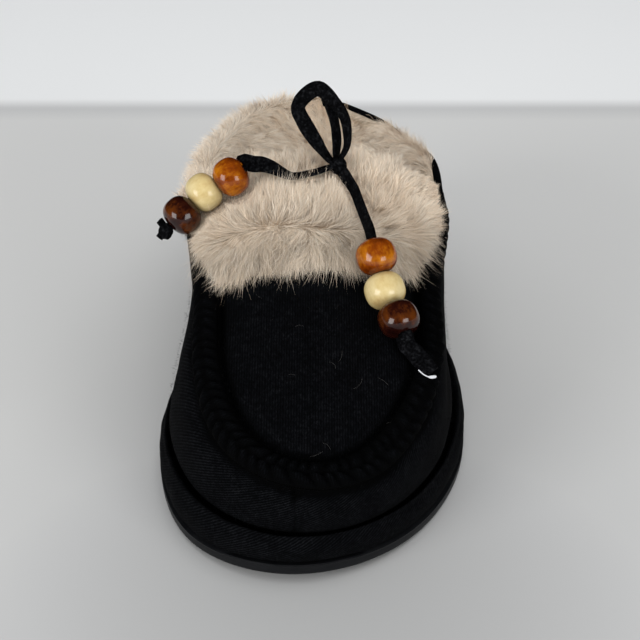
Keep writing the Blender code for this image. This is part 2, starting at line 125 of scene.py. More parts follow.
# The lace's routes: its two loops, its tails from the knot to their beads, and their ends.
LOOP_TALL = (
    (0.0046, -0.0160, 0.0875), (0.0033, -0.0156, 0.0889), (0.0010, -0.0147, 0.0919),
    (-0.0020, -0.0133, 0.0961), (-0.0042, -0.0120, 0.0996), (-0.0057, -0.0110, 0.1025),
    (-0.0058, -0.0105, 0.1037), (-0.0050, -0.0099, 0.1055), (-0.0029, -0.0091, 0.1076),
    (-0.0010, -0.0086, 0.1088), (0.0008, -0.0085, 0.1093), (0.0028, -0.0089, 0.1082),
    (0.0058, -0.0099, 0.1054), (0.0081, -0.0109, 0.1027), (0.0096, -0.0120, 0.0995),
    (0.0102, -0.0135, 0.0955), (0.0101, -0.0147, 0.0922), (0.0091, -0.0155, 0.0897),
    (0.0081, -0.0160, 0.0882),
)
LOOP_LOW = (
    (0.0066, -0.0136, 0.0882), (0.0068, -0.0110, 0.0914), (0.0066, -0.0095, 0.0947),
    (0.0060, -0.0080, 0.0984), (0.0050, -0.0062, 0.1016), (0.0040, -0.0040, 0.1032),
    (0.0036, -0.0012, 0.1022), (0.0042, 0.0006, 0.0987), (0.0054, -0.0004, 0.0943),
    (0.0064, -0.0036, 0.0900), (0.0070, -0.0085, 0.0868), (0.0069, -0.0132, 0.0853),
)
LEAD_LEFT = (
    (0.0038, -0.0167, 0.0850), (0.0003, -0.0179, 0.0842), (-0.0029, -0.0187, 0.0837),
    (-0.0059, -0.0191, 0.0832), (-0.0088, -0.0188, 0.0831), (-0.0118, -0.0174, 0.0840),
    (-0.0148, -0.0159, 0.0850), (-0.0177, -0.0151, 0.0856), (-0.0203, -0.0163, 0.0862),
    (-0.0222, -0.0164, 0.0866), (-0.0240, -0.0163, 0.0868), (-0.0243, -0.0166, 0.0857),
)
LEAD_RIGHT = (
    (0.0089, -0.0186, 0.0840), (0.0106, -0.0211, 0.0822), (0.0123, -0.0243, 0.0806),
    (0.0141, -0.0309, 0.0781), (0.0159, -0.0380, 0.0757), (0.0169, -0.0447, 0.0752),
)
END_LEFT = ((-0.0468, -0.0279, 0.0697),)
END_RIGHT = (
    (0.0277, -0.0729, 0.0502), (0.0296, -0.0742, 0.0486), (0.0314, -0.0761, 0.0472),
    (0.0333, -0.0786, 0.0461), (0.0350, -0.0810, 0.0451),
)


# ---- the form -------------------------------------------------------------------------------------

def ring_at(steps):
    """Each column of the stations at steps round the shoe, and the direction into the shoe."""
    table = np.array(STATIONS)
    n = len(table)
    beside = np.roll(np.eye(n), 1, axis=0) + np.roll(np.eye(n), -1, axis=0)
    controls = np.linalg.solve((4 * np.eye(n) + beside) / 6, table)

    def read(at):
        at = np.asarray(at) * n / RING
        whole = np.floor(at).astype(int)
        f = (at - whole)[:, None]
        weights = ((1 - f) ** 3, 3 * f**3 - 6 * f**2 + 4, -3 * f**3 + 3 * f**2 + 3 * f + 1, f**3)
        return sum(w * controls[(whole + k - 1) % n] for k, w in enumerate(weights)) / 6

    values = read(steps)
    ring = {name: values[:, i] for i, name in enumerate(COLUMNS)}
    along = (read(np.asarray(steps) + 1) - read(np.asarray(steps) - 1))[:, :2]
    along /= np.linalg.norm(along, axis=1)[:, None]
    ring["inward"] = np.stack([along[:, 1], -along[:, 0]], axis=1)
    return ring


def inset(ring, depth, height):
    """The sole's edge moved inwards by depth, at a height."""
    x, y = (ring["x"], ring["y"]) + depth * ring["inward"].T
    return np.stack([x, y, height + 0 * x], axis=1)


def lift(y):
    """How far the sole lifts off the floor at y: its toe spring and its arch."""
    start = min(row[1] for row in STATIONS) + SPRING_LENGTH
    toe = TOE_SPRING * (np.clip(start - y, 0, None) / SPRING_LENGTH) ** 2
    span = np.clip((y - ARCH_SPAN[0]) / (ARCH_SPAN[1] - ARCH_SPAN[0]), 0, 1)
    return toe + ARCH * np.sin(math.pi * span) ** 2


def wall_point(ring, share):
    """Points of the side wall at a share of the way from its foot to its top, on a cubic curve."""
    rise = ring["top"] - ring["seat"]
    turn = 0.40 * ring["lean"] / (abs(ring["lean"]) + rise)
    depths = (0 * rise, -1.5 * ring["swell"], 0.4 * ring["lean"], ring["lean"])
    heights = (0 * rise, 0.38 * rise, (0.72 + turn) * rise, rise)
    u = share
    weights = ((1 - u) ** 3, 3 * u * (1 - u) ** 2, 3 * u**2 * (1 - u), u**3)
    depth = ring["ledge"] + sum(w * d for w, d in zip(weights, depths))
    height = ring["seat"] + GAP + sum(w * h for w, h in zip(weights, heights))
    return inset(ring, depth, height)


def wall_grid(steps, shares):
    """Rows of wall points, from its foot up, each along the steps."""
    ring = ring_at(steps)
    return np.stack([wall_point(ring, share) for share in shares])


def vamp_grid(ks, qs):
    """Rows of vamp points, k steps behind the toe, q from the outer seam (-1) to the inner (1)."""
    ks, qs = np.asarray(ks, float), np.asarray(qs, float)
    outer = wall_point(ring_at(TOE - ks), 1.0)[:, None]
    inner = wall_point(ring_at(TOE + ks), 1.0)[:, None]
    q = qs[None, :, None]
    grid = (outer + inner) / 2 + q * (inner - outer) / 2
    way = (ks / VAMP_ROWS)[:, None]
    arch = 1 - qs[None] ** 2
    crown = CROWN_TOE * np.minimum(1, 3 * way) + (CROWN_THROAT - CROWN_TOE) * way**2
    grid[..., 2] += arch * crown
    grid[..., 1] += arch * THROAT_BOW * way**3
    return grid


def unit(vectors):
    return vectors / np.maximum(np.linalg.norm(vectors, axis=-1, keepdims=True), 1e-12)


def grid_normals(grid):
    """Normals of a grid of points, along the cross product of its rows' and columns' directions."""
    return unit(np.cross(np.gradient(grid, axis=0), np.gradient(grid, axis=1)))


def ring_normals(grid):
    """Normals of a grid whose last column meets its first."""
    return grid_normals(np.concatenate([grid[:, -1:], grid, grid[:, :1]], axis=1))[:, 1:-1]


def smoothstep(low, high, value):
    t = np.clip((value - low) / (high - low), 0, 1)
    return t * t * (3 - 2 * t)


def bell(value, middle, width):
    """A smooth bump that is 1 at the middle."""
    return np.exp(-(((value - middle) / width) ** 2))


def travelled(points):
    """How far along a line of points each of them lies."""
    return np.concatenate([[0], np.cumsum(np.linalg.norm(np.diff(points, axis=0), axis=1))])


def noise_at(points, scale):
    """Smooth noise at each of an array of points, finer as scale grows."""
    values = [noise.noise(Vector(point) * scale) for point in points.reshape(-1, 3)]
    return np.reshape(values, points.shape[:-1])


# ---- Blender helpers ------------------------------------------------------------------------------

def add_object(name, data, finish, replaced=()):
    """A finished piece on the only body, with its materials and the CAD nodes it stands for."""
    for each in finish if isinstance(finish, (list, tuple)) else [finish]:
        data.materials.append(each)
    obj = bpy.data.objects.new(name, data)
    bpy.context.scene.collection.objects.link(obj)
    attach(obj, "root")
    if replaced:
        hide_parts(*replaced)
    return obj


def new_mesh(name, points, faces):
    mesh = bpy.data.meshes.new(name)
    mesh.from_pydata(np.asarray(points).reshape(-1, 3).tolist(), [], faces)
    mesh.shade_smooth()
    return mesh


def grid_faces(rows, columns, closed=False, start=0):
    """Faces of a grid of points; closed joins its last column to its first."""
    faces = []
    for r in range(rows - 1):
        for c in range(columns if closed else columns - 1):
            a, b = start + r * columns + c, start + r * columns + (c + 1) % columns
            faces.append((a, b, b + columns, a + columns))
    return faces


def tube_faces(rows, columns):
    """Faces of a tube through rows of points, closed across both ends."""
    last = (rows - 1) * columns
    ends = [tuple(reversed(range(columns))), tuple(last + i for i in range(columns))]
    return grid_faces(rows, columns, closed=True) + ends


def set_uv(mesh, coordinates):
    """Gives each corner the coordinates, in metres, of its point."""
    layer = mesh.uv_layers.new(name="metres")
    corners = np.zeros(len(mesh.loops), dtype=np.int32)
    mesh.loops.foreach_get("vertex_index", corners)
    layer.uv.foreach_set("vector", np.asarray(coordinates, np.float32)[corners].ravel())


def set_groove_shade(mesh, values):
    """How open each point is: 1 on the surface, less in a groove, where felt is painted darker as shade.
    """
    layer = mesh.attributes.new("depth", "FLOAT", "POINT")
    layer.data.foreach_set("value", np.clip(values, 0, 1).astype(np.float32))


def change(mesh, action):
    """Applies an action to the mesh's points and faces, as bmesh, and shades it smooth."""
    work = bmesh.new()
    work.from_mesh(mesh)
    action(work)
    work.to_mesh(mesh)
    work.free()
    mesh.shade_smooth()


# ---- materials ------------------------------------------------------------------------------------

class Finish:
    """A node material: a Principled shader, with helpers for its colour, roughness and bump."""

    def __init__(self, name, colour, roughness, **sockets):
        self.material = bpy.data.materials.new(name)
        self.material.use_nodes = True
        self.nodes = self.material.node_tree.nodes
        self.shader = self.nodes["Principled BSDF"]
        self.set("Base Color", (*colour, 1))
        self.set("Roughness", roughness)
        for socket, value in sockets.items():
            self.set(socket.replace("_", " "), value)

    def set(self, socket, value):
        self.shader.inputs[socket].default_value = value

    def link(self, output, socket):
        self.material.node_tree.links.new(output, socket)

    def add(self, kind, **inputs):
        node = self.nodes.new(f"ShaderNode{kind}")
        for name, value in inputs.items():
            self.feed(node.inputs[name.replace("_", " ")], value)
        return node

    def feed(self, socket, value):
        if isinstance(value, bpy.types.NodeSocket):
            self.link(value, socket)
        else:
            socket.default_value = value

    def place(self, kind="Object", scale=(1, 1, 1)):
        """Coordinates in metres times scale: Object, or UV in the mesh's own metres."""
        where = self.add("TexCoord")
        mapping = self.add("Mapping", Vector=where.outputs[kind], Scale=scale)
        return mapping.outputs["Vector"]

    def noise(self, vector, scale, detail=3.0, roughness=0.55):
        made = self.add("TexNoise", Vector=vector, Scale=scale, Detail=detail, Roughness=roughness)
        return made.outputs["Fac"]

    def math(self, operation, first, second):
        made = self.add("Math")
        made.operation = operation
        self.feed(made.inputs[0], first)
        self.feed(made.inputs[1], second)
        return made.outputs["Value"]

    def ramp(self, factor, *stops):
        """A colour ramp; each stop is a position and a colour or a grey."""
        made = self.add("ValToRGB", Fac=factor)
        elements = made.color_ramp.elements
        while len(elements) < len(stops):
            elements.new(0.5)
        for element, (position, colour) in zip(elements, stops):
            element.position = position
            element.color = (*colour, 1) if isinstance(colour, tuple) else (colour,) * 3 + (1,)
        return made.outputs["Color"]

    def weigh(self, *parts):
        """The sum of outputs, each given with its weight."""
        total = None
        for output, weight in parts:
            part = self.math("MULTIPLY", output, weight)
            total = part if total is None else self.math("ADD", total, part)
        return total

    def colour(self, output):
        self.link(output, self.shader.inputs["Base Color"])

    def rough(self, output):
        self.link(output, self.shader.inputs["Roughness"])

    def bump(self, height, distance, strength=1.0):
        """Adds a bump of that height in metres on top of those before it."""
        before = self.shader.inputs["Normal"].links
        made = self.add("Bump", Height=height, Distance=distance, Strength=strength)
        if before:
            self.link(before[0].from_socket, made.inputs["Normal"])
        self.link(made.outputs["Normal"], self.shader.inputs["Normal"])


MATT = 0.05                # specular level of felt and suede
FELT_RIB = 0.0008          # from one rib of the knit to the next
# The felt's colour from deep in its nap and in its painted groove shade up to the crumbs of lint on it, at
# levels of openness.
FELT_COLOURS = (
    (0.14, (0.0003, 0.0003, 0.0004)), (0.39, (0.0004, 0.0005, 0.0007)),
    (0.56, (0.0014, 0.0016, 0.0022)), (0.70, (0.0062, 0.0067, 0.0078)),
)


def felt_finish(name, direction, ribbing):
    """Brushed knit: fine ribs under a short, uneven nap, with painted shade where the mesh says it is
    deep.
    """
    felt = Finish(name, FELT_COLOURS[2][1], 0.95, Specular_IOR_Level=MATT)
    wave = felt.add("TexWave", Vector=felt.place("UV"), Scale=math.pi / 10 / FELT_RIB, Distortion=3.0,
                    Detail_Scale=3.0)
    wave.bands_direction = direction
    ribs = wave.outputs["Fac"]
    nap = felt.noise(felt.place(), 800, detail=4.0, roughness=0.75)
    patches = felt.noise(felt.place(), 130, detail=3.0, roughness=0.6)
    mix = felt.weigh((ribs, ribbing), (nap, 1 - ribbing))
    shade = felt.weigh((mix, 0.78), (patches, 0.22))
    # Painted shade: the mesh's depth attribute darkens the felt in grooves and creases.
    depth = felt.add("Attribute")
    depth.attribute_name = "depth"
    felt.colour(felt.ramp(felt.math("MULTIPLY", shade, depth.outputs["Fac"]), *FELT_COLOURS))
    felt.bump(nap, 0.0004, 0.6)
    felt.bump(ribs, 0.00015, 0.6)
    return felt.material


def rubber_finish():
    """Satin black rubber, paler and rougher where it is scuffed."""
    rubber = Finish("satin rubber", (0.009, 0.0095, 0.0105), 0.42, Specular_IOR_Level=0.15)
    grain = rubber.noise(rubber.place(), 1800, detail=2.0)
    scuffs = rubber.noise(rubber.place(scale=(1, 1, 4)), 160, detail=5.0, roughness=0.65)
    rubber.colour(rubber.ramp(scuffs, (0.35, (0.0036, 0.0039, 0.0047)), (0.75, (0.0064, 0.0068, 0.0078))))
    rubber.rough(rubber.ramp(scuffs, (0.3, 0.36), (0.7, 0.55)))
    rubber.bump(grain, 0.00006, 0.4)
    return rubber.material


def fur_finish():
    """Hair whose colour runs from its root to its tip in the mesh's own colours."""
    fur = Finish("fur", (0.8, 0.7, 0.56), 0.62, Sheen_Weight=0.15, Sheen_Roughness=0.5,
                 Specular_IOR_Level=0.25)
    colours = fur.add("Attribute")
    colours.attribute_name = "shade"
    fur.colour(colours.outputs["Color"])
    return fur.material


def pile_finish(name, colour, scale, roughness, stops, strength, sheen=0.0):
    """A dense, short pile, darker between its tufts. The stops are its colours from there up."""
    pile = Finish(name, colour, 0.95, Sheen_Weight=sheen)
    tufts = pile.noise(pile.place(), scale, detail=5.0, roughness=roughness)
    pile.colour(pile.ramp(tufts, *stops))
    pile.bump(tufts, 0.0012, strength)
    return pile.material


def suede_finish():
    """Black suede, greyer where its nap is rubbed."""
    suede = Finish("black suede", (0.004, 0.0042, 0.0048), 0.9, Specular_IOR_Level=MATT)
    nap = suede.noise(suede.place(), 1300, detail=2.0, roughness=0.6)
    rubbed = suede.noise(suede.place(), 420, detail=3.0)
    mix = suede.weigh((nap, 0.65), (rubbed, 0.35))
    suede.colour(suede.ramp(mix, (0.41, (0.0004, 0.0004, 0.0006)), (0.53, (0.0020, 0.0021, 0.0027)),
                            (0.66, (0.0110, 0.0115, 0.0128))))
    suede.bump(nap, 0.00035, 0.8)
    return suede.material


MOUTH = 0.0030             # from a bead's middle to where it starts to darken towards its mouths, along the bore
# The beads' woods: dark, middle and light.
WOODS = {
    "amber": ((0.075, 0.012, 0.001), (0.18, 0.035, 0.0015), (0.39, 0.125, 0.005)),
    "cream": ((0.43, 0.29, 0.117), (0.525, 0.405, 0.184), (0.60, 0.49, 0.258)),
    "brown": ((0.006, 0.0012, 0.0009), (0.018, 0.0034, 0.0018), (0.080, 0.020, 0.003)),
}


def wood_finish(colour):
    """Turned wood under a glossy varnish, its grain along the bead's bore, darker at its mouths."""
    dark, middle, light = WOODS[colour]
    wood = Finish(f"{colour} wood", middle, 0.5, Coat_Weight=1.0, Coat_Roughness=0.12, Coat_IOR=1.42,
                  Specular_IOR_Level=0.0)
    rings = wood.noise(wood.place(scale=(1.0, 1.0, 0.5)), 420, detail=5.0, roughness=0.6)
    blotch = wood.noise(wood.place(), 150, detail=3.0)
    pores = wood.noise(wood.place(scale=(1, 1, 0.6)), 1700, detail=2.0)
    mix = wood.weigh((rings, 0.24), (blotch, 0.64), (pores, 0.12))
    axis = wood.add("SeparateXYZ", Vector=wood.place())
    from_middle = wood.math("ABSOLUTE", axis.outputs["Z"], 0.0)
    mouth_dark = wood.math("MULTIPLY", wood.math("SUBTRACT", from_middle, MOUTH), 60.0)
    mix = wood.math("SUBTRACT", mix, wood.math("MAXIMUM", mouth_dark, 0.0))
    wood.colour(wood.ramp(mix, (0.32, dark), (0.47, middle), (0.62, light)))
    wood.bump(rings, 0.00004, 0.3)
    return wood.material


# ---- the sole -------------------------------------------------------------------------------------

SOLE_STEPS = np.arange(0, RING, 0.25)
LUG_FRONTS = (-0.092, 0.056)   # y of the first groove under the forefoot and under the heel
LUG_COUNT = 6
CUTTER = 0.01              # height of the block that cuts a groove
# The rubber's side from its underside up: depth in from the edge, and height.
OUTSOLE_SIDE = (
    (0.0012, 0.0), (0.0006, 0.00012), (0.0002, 0.0005), (0.0, 0.0010),
    (0.0001, 0.0024), (0.0001, 0.0030), (-0.0001, 0.0033), (0.0002, OUTSOLE),
)
# The platform's side: depth in from the edge, and share of its height.
PLATFORM_SIDE = (
    (0.0018, 0.0), (0.0008, 0.03), (0.0003, 0.12), (0.0, 0.30), (-0.0001, 0.50),
    (0.0001, 0.68), (0.0006, 0.84), (0.0014, 0.95),
)
# Its top: share of the ledge outside the upper, height over the seat, and how open it lies, which sets its
# painted shade.
PLATFORM_TOP = (
    (0.40, 0.0010, 1.0), (0.62, 0.0009, 1.0), (0.80, 0.0001, 0.85), (0.96, -0.0018, 0.35),
    (1.4, -0.0026, 0.1),
)
RIPPLE = 0.00030           # how far the pulled felt's unevenness stands out


def plate_mesh(name, rings):
    """A solid through rings of points from its underside up, closed across both ends."""
    count = len(rings[0])
    faces = grid_faces(len(rings), count, closed=True)
    last = (len(rings) - 1) * count
    for i in range(count // 2):
        strip = list(dict.fromkeys((i, i + 1, count - i - 1, (count - i) % count)))
        if len(strip) > 2:
            faces.append(tuple(reversed(strip)))
            faces.append(tuple(last + p for p in strip))
    return new_mesh(name, np.concatenate(rings), [tuple(reversed(f)) for f in faces])


def cut_lugs(sole, ring):
    """Grooves across the forefoot and the heel leave the lugs between them."""
    width, depth = LUG_GROOVE
    for y in [first + LUG_PITCH * n for first in LUG_FRONTS for n in range(LUG_COUNT)]:
        near = abs(ring["y"] - y) < 0.5 * LUG_PITCH
        low, high = ring["x"][near].min() + LUG_MARGIN, ring["x"][near].max() - LUG_MARGIN
        bpy.ops.mesh.primitive_cube_add(size=1, location=((low + high) / 2, y, depth - CUTTER / 2))
        cutter = bpy.context.object
        cutter.scale = (high - low, width, CUTTER)
        cut = sole.modifiers.new("groove", "BOOLEAN")
        cut.operation = "DIFFERENCE"
        cut.object = cutter
        bpy.context.view_layer.objects.active = sole
        bpy.ops.object.modifier_apply(modifier=cut.name)
        bpy.data.objects.remove(cutter, do_unlink=True)


def make_outsole(finish):
    """The rubber: a rounded lower edge, a plain side and a fine lip under the felt."""
    ring = ring_at(SOLE_STEPS)
    foot = lift(ring["y"])
    rings = [inset(ring, depth, foot + height) for depth, height in OUTSOLE_SIDE]
    sole = add_object("rubber_sole", plate_mesh("rubber_sole", rings), finish, ["outsole"])
    cut_lugs(sole, ring)
    sole.data.set_sharp_from_angle(angle=math.radians(50))


def make_platform(finish):
    """The felt-covered platform, with soft unevenness where the felt is pulled round it."""
    ring = ring_at(SOLE_STEPS)
    foot = lift(ring["y"]) + OUTSOLE + GAP
    rise = ring["seat"] - foot
    rings = [inset(ring, depth, foot + share * rise) for depth, share in PLATFORM_SIDE]
    rings += [inset(ring, share * ring["ledge"], ring["seat"] + height)
              for share, height, _ in PLATFORM_TOP]
    outward = np.concatenate([-ring["inward"], 0 * ring["x"][:, None]], axis=1)
    for points in rings[1:-1]:
        ripple = noise_at(points, 120) + 0.6 * noise_at(points, 300)
        points += outward * RIPPLE * ripple[:, None]
    mesh = plate_mesh("felt_platform", rings)
    widest = rings[4]
    along, up = travelled(widest), travelled([points[0] for points in rings])
    set_uv(mesh, np.stack(np.meshgrid(along, up), axis=-1).reshape(-1, 2))
    # Painted shade: the platform's top darkens where it runs in under the upper.
    levels = [1.0] * len(PLATFORM_SIDE) + [level for _, _, level in PLATFORM_TOP]
    set_groove_shade(mesh, np.repeat(levels, len(along)))
    platform = add_object("felt_platform", mesh, finish, ["midsole_wrap"])
    soft = platform.modifiers.new("soft", "SUBSURF")
    soft.levels = soft.render_levels = 1
    soft.boundary_smooth = "PRESERVE_CORNERS"


# ---- the upper ------------------------------------------------------------------------------------

NEAR_TOE = (0.0, 0.06, 0.12, 0.2, 0.3, 0.45, 0.7)
VAMP_STEPS = np.array([*NEAR_TOE, *np.arange(1, VAMP_ROWS + 0.1, 0.5)])
HALF_STEPS = np.array([*VAMP_STEPS, *np.arange(VAMP_ROWS + 0.5, TOE, 0.5)])
WALL_STEPS = np.array([*(TOE + HALF_STEPS), 2 * TOE, *(TOE - HALF_STEPS[:0:-1])])
WALL_SHARES = np.linspace(0, 1, 23)
VAMP_QS = np.linspace(-1, 1, 41)

# Soft troughs in the side wall: step round the shoe, share up the wall, half length, half width,
# depth, and how the trough slants.
WALL_FOLDS = (
    (24.0, 0.55, 0.40, 1.3, 0.0012, 0.8), (26.6, 0.40, 0.34, 1.0, 0.0009, -0.6),
    (28.8, 0.62, 0.26, 0.9, 0.0006, 0.5), (45.4, 0.60, 0.30, 1.0, 0.0007, -0.6),
    (47.6, 0.45, 0.38, 1.2, 0.0010, 0.7), (50.2, 0.55, 0.34, 1.4, 0.0011, -0.8),
    (33.2, 0.35, 0.22, 0.8, 0.0004, 0.3), (39.4, 0.35, 0.22, 0.8, 0.0004, -0.3),
    (18.6, 0.60, 0.30, 1.3, 0.0007, 0.6), (55.6, 0.60, 0.30, 1.3, 0.0007, -0.6),
)
# Soft troughs across the vamp: steps behind the toe, place across, half length, half width, depth.
VAMP_FOLDS = (
    (11.2, -0.30, 0.55, 0.55, 0.0005), (9.4, 0.45, 0.35, 0.50, 0.0004), (5.0, 0.10, 0.45, 0.60, 0.0003),
)
STITCH = 0.0042            # from one gather of the seam to the next
TROUGH = 0.0052            # from the seam to the trough on each side of it
WALL_HEIGHT = 0.045        # the side wall's height in its felt's coordinates
SEAM_STEPS = np.arange(-SEAM_REACH, SEAM_REACH + 0.01, 0.1)


def from_seam(grid):
    """For each point, its distance from the seam, and how far along the seam its nearest place is."""
    steps = np.arange(-VAMP_ROWS, VAMP_ROWS + 0.01, 0.25)
    line = wall_point(ring_at(TOE + steps), 1.0)
    apart = np.linalg.norm(grid.reshape(-1, 1, 3) - line, axis=2)
    along = travelled(line)[apart.argmin(axis=1)]
    return apart.min(axis=1).reshape(grid.shape[:2]), along.reshape(grid.shape[:2])


def shape_wall(wall):
    """Moves the side wall: gathers below the seam, the toe seam's furrow and a few soft folds."""
    distance, along = from_seam(wall)
    steps, shares = WALL_STEPS[None], WALL_SHARES[:, None]
    from_toe = np.minimum(abs(steps - TOE), RING - abs(steps - TOE))
    beside = smoothstep(VAMP_ROWS + 1, VAMP_ROWS - 2, from_toe)
    gather = np.cos(2 * math.pi * along / STITCH) * bell(distance, 0.006, 0.0035)
    move = -beside * (0.0007 * bell(distance, TROUGH, 0.0016) + 0.00022 * gather)
    move += beside * 0.0005 * bell(distance, 0.011, 0.004)
    furrow = bell(from_toe, 0, 0.13) * smoothstep(1.02, 0.94, shares)
    pinch = bell(from_toe, 0, 0.9) * smoothstep(1.02, 0.7, shares)
    move -= 0.0005 * furrow + 0.0003 * pinch
    for step, share, tall, wide, depth, slant in WALL_FOLDS:
        across = (steps - step - slant * (shares - share) * 2) / wide
        move -= depth * np.exp(-(across**2) - ((shares - share) / tall) ** 2)
    tuck = 0.0008 * smoothstep(0.07, 0.0, shares)
    move = move * smoothstep(0, 0.06, shares) - tuck
    # Painted shade: the felt is darker in the troughs, beside the seam and at the wall's foot.
    depth = smoothstep(-0.0014, -0.0003, move) * smoothstep(0.0028, 0.0062, distance * beside + 1 - beside)
    moved = wall + ring_normals(wall) * move[..., None]
    return moved, np.maximum(depth * smoothstep(0.0, 0.06, shares), 0.1)


def shape_vamp(vamp):
    """Moves the vamp: a deep groove inside the seam, a soft swell within it and flat folds."""
    out = grid_normals(vamp)
    out[0] = (0, 0, 1)
    distance, _ = from_seam(vamp)
    groove = bell(distance, TROUGH, 0.0013)
    swell = smoothstep(0.006, 0.014, distance)
    move = 0.0009 * swell - 0.0018 * groove * smoothstep(0.0, 0.0016, distance)
    for k, q, wide, deep, depth in VAMP_FOLDS:
        row = (VAMP_STEPS[:, None] - k) / deep
        move -= depth * np.exp(-(row**2) - ((VAMP_QS[None] - q) / wide) ** 2) * swell
    # Painted shade: the felt is darker in the groove inside the seam and right beside the seam.
    return vamp + out * move[..., None], np.maximum(1 - groove, 0.05) * smoothstep(0.003, 0.006, distance)


def shell(wall, vamp):
    """The points of the side wall and the vamp together, and their faces."""
    rows, columns = wall.shape[:2]
    faces = grid_faces(rows, columns, closed=True)
    faces += grid_faces(*vamp.shape[:2], start=rows * columns)
    return np.concatenate([wall.reshape(-1, 3), vamp.reshape(-1, 3)]), [f[::-1] for f in faces]


def make_upper(finish):
    """The felt shell, whose wall and vamp meet under the seam and whose cut edge shows at the top."""
    wall, wall_shade = shape_wall(wall_grid(WALL_STEPS, WALL_SHARES))
    vamp, vamp_shade = shape_vamp(vamp_grid(VAMP_STEPS, VAMP_QS))
    points, faces = shell(wall, vamp)
    mesh = new_mesh("felt_upper", points, faces)
    rows, columns = wall.shape[:2]
    on_wall = (rows - 1) * columns
    mesh.polygons.foreach_set("material_index", [int(i >= on_wall) for i in range(len(faces))])
    along = travelled(wall[rows // 2 + 1])
    uv_wall = np.stack(np.meshgrid(along, np.linspace(0, WALL_HEIGHT, rows)), axis=-1)
    set_uv(mesh, np.concatenate([uv_wall.reshape(-1, 2), vamp[..., :2].reshape(-1, 2)]))
    set_groove_shade(mesh, np.concatenate([wall_shade.ravel(), vamp_shade.ravel()]))
    change(mesh, lambda work: bmesh.ops.remove_doubles(work, verts=work.verts, dist=0.00002))
    upper = add_object("felt_upper", mesh, finish, ["upper"])
    felt = upper.modifiers.new("felt", "SOLIDIFY")
    felt.thickness = WALL
    felt.offset = -1


def plain_surface():
    """The upper's outside before its folds, to lay things on."""
    points, faces = shell(wall_grid(WALL_STEPS, WALL_SHARES), vamp_grid(VAMP_STEPS, VAMP_QS))
    return BVHTree.FromPolygons(points.tolist(), faces)


def seam_grid(tree, offsets):
    """Points of the upper at distances from the seam, negative down the wall, and normals there."""
    ring = ring_at(TOE + SEAM_STEPS)
    shares = np.linspace(1, 0.6, 9)
    down = np.stack([wall_point(ring, share) for share in shares], axis=1)
    rows, normals = [], []
    for i, k in enumerate(SEAM_STEPS):
        line = down[i]
        reach = travelled(line)
        way = abs(k) / VAMP_ROWS
        inward = (1 - way) * ring["inward"][i] + way * np.array((np.sign(k), 0))
        inward /= np.linalg.norm(inward)
        row, row_normals = [], []
        for d in offsets:
            if d > 0:
                x, y = line[0][:2] + d * inward
                hit, normal, _, _ = tree.ray_cast(Vector((x, y, 1)), Vector((0, 0, -1)))
            else:
                guess = Vector([np.interp(-d, reach, line[:, axis]) for axis in range(3)])
                hit, normal, _, _ = tree.find_nearest(guess)
            row.append(hit)
            row_normals.append(normal)
        rows.append(row)
        normals.append(row_normals)
    return np.array(rows), np.array(normals)


def slab_mesh(name, under, over):
    """A solid between two grids of points of the same shape; over lies on the outer side."""
    rows, columns = under.shape[:2]
    number = np.arange(rows * columns).reshape(rows, columns)
    shift = rows * columns
    faces = grid_faces(rows, columns)
    faces += [tuple(p + shift for p in reversed(f)) for f in faces]
    rim = [*number[0, :-1], *number[:-1, -1], *number[-1, :0:-1], *number[:0:-1, 0]]
    for a, b in zip(rim, rim[1:] + rim[:1]):
        faces.append((int(a), int(b), int(b) + shift, int(a) + shift))
    return new_mesh(name, np.concatenate([under.reshape(-1, 3), over.reshape(-1, 3)]), faces)


def seam_relief(at, along, c):
    """Heights of the seam's puckers over the felt, and how open each of its points lies. at is its
    grid of points, along how far along it they lie and c their places across it, from 1 to -1."""
    hump = np.sqrt(1 - c**2)
    line = at[:, at.shape[1] // 2]
    wobble = noise_at(line, 110)[:, None]
    inner_row = abs(np.sin(math.pi * (along / STITCH + 0.55 * c + 0.6 * wobble))) ** 0.75
    outer_row = abs(np.sin(math.pi * (along / STITCH + 0.5 - 0.55 * c - 0.6 * wobble))) ** 0.75
    lobes = outer_row + (inner_row - outer_row) * smoothstep(-0.22, 0.22, c)
    valley = bell(c, 0, 0.14)
    uneven = noise_at(line, 160)[:, None]
    height = 0.0003 + SEAM_HEIGHT * hump * (0.34 + 0.72 * lobes + 0.18 * uneven - 0.28 * valley)
    height += 0.00022 * noise_at(at, 700) * hump
    from_toe = abs(SEAM_STEPS)[:, None]
    calm = smoothstep(8, 13, from_toe)
    height += (0.00030 + 0.58 * SEAM_HEIGHT * hump - height) * 0.65 * calm
    height *= smoothstep(SEAM_REACH, SEAM_REACH - 1.5, from_toe)
    # Painted shade: the seam is darker between its puckers, along its middle and at its sides.
    open_air = np.clip(0.30 + 0.75 * lobes - 0.35 * valley, 0, 1)
    return height, open_air * (0.35 + 0.65 * hump)


def make_seam(tree, finish):
    """The gathered seam: two rows of stitched puckers lean together along its middle, like a plait."""
    across = (np.sin(np.linspace(-math.pi / 2, math.pi / 2, 23)) * 0.999)[::-1]
    at, out = seam_grid(tree, across * SEAM_WIDTH / 2)
    for _ in range(12):
        out[1:-1] = (out[:-2] + 2 * out[1:-1] + out[2:]) / 4
    middle = len(across) // 2
    out[:, middle] = out[:, middle - 1] + out[:, middle + 1]
    out = unit(out)
    along, c = travelled(at[:, middle])[:, None], across[None]
    height, depth = seam_relief(at, along, c)
    mesh = slab_mesh("gathered_seam", at - out * 0.0012, at + out * (GAP + height[..., None]))
    uv = np.stack(np.broadcast_arrays(along, c * SEAM_WIDTH), axis=-1).reshape(-1, 2)
    set_uv(mesh, np.concatenate([uv, uv]))
    set_groove_shade(mesh, np.tile(depth.ravel(), 2))
    add_object("gathered_seam", mesh, finish, ["apron_seam"])


# ---- fur ------------------------------------------------------------------------------------------

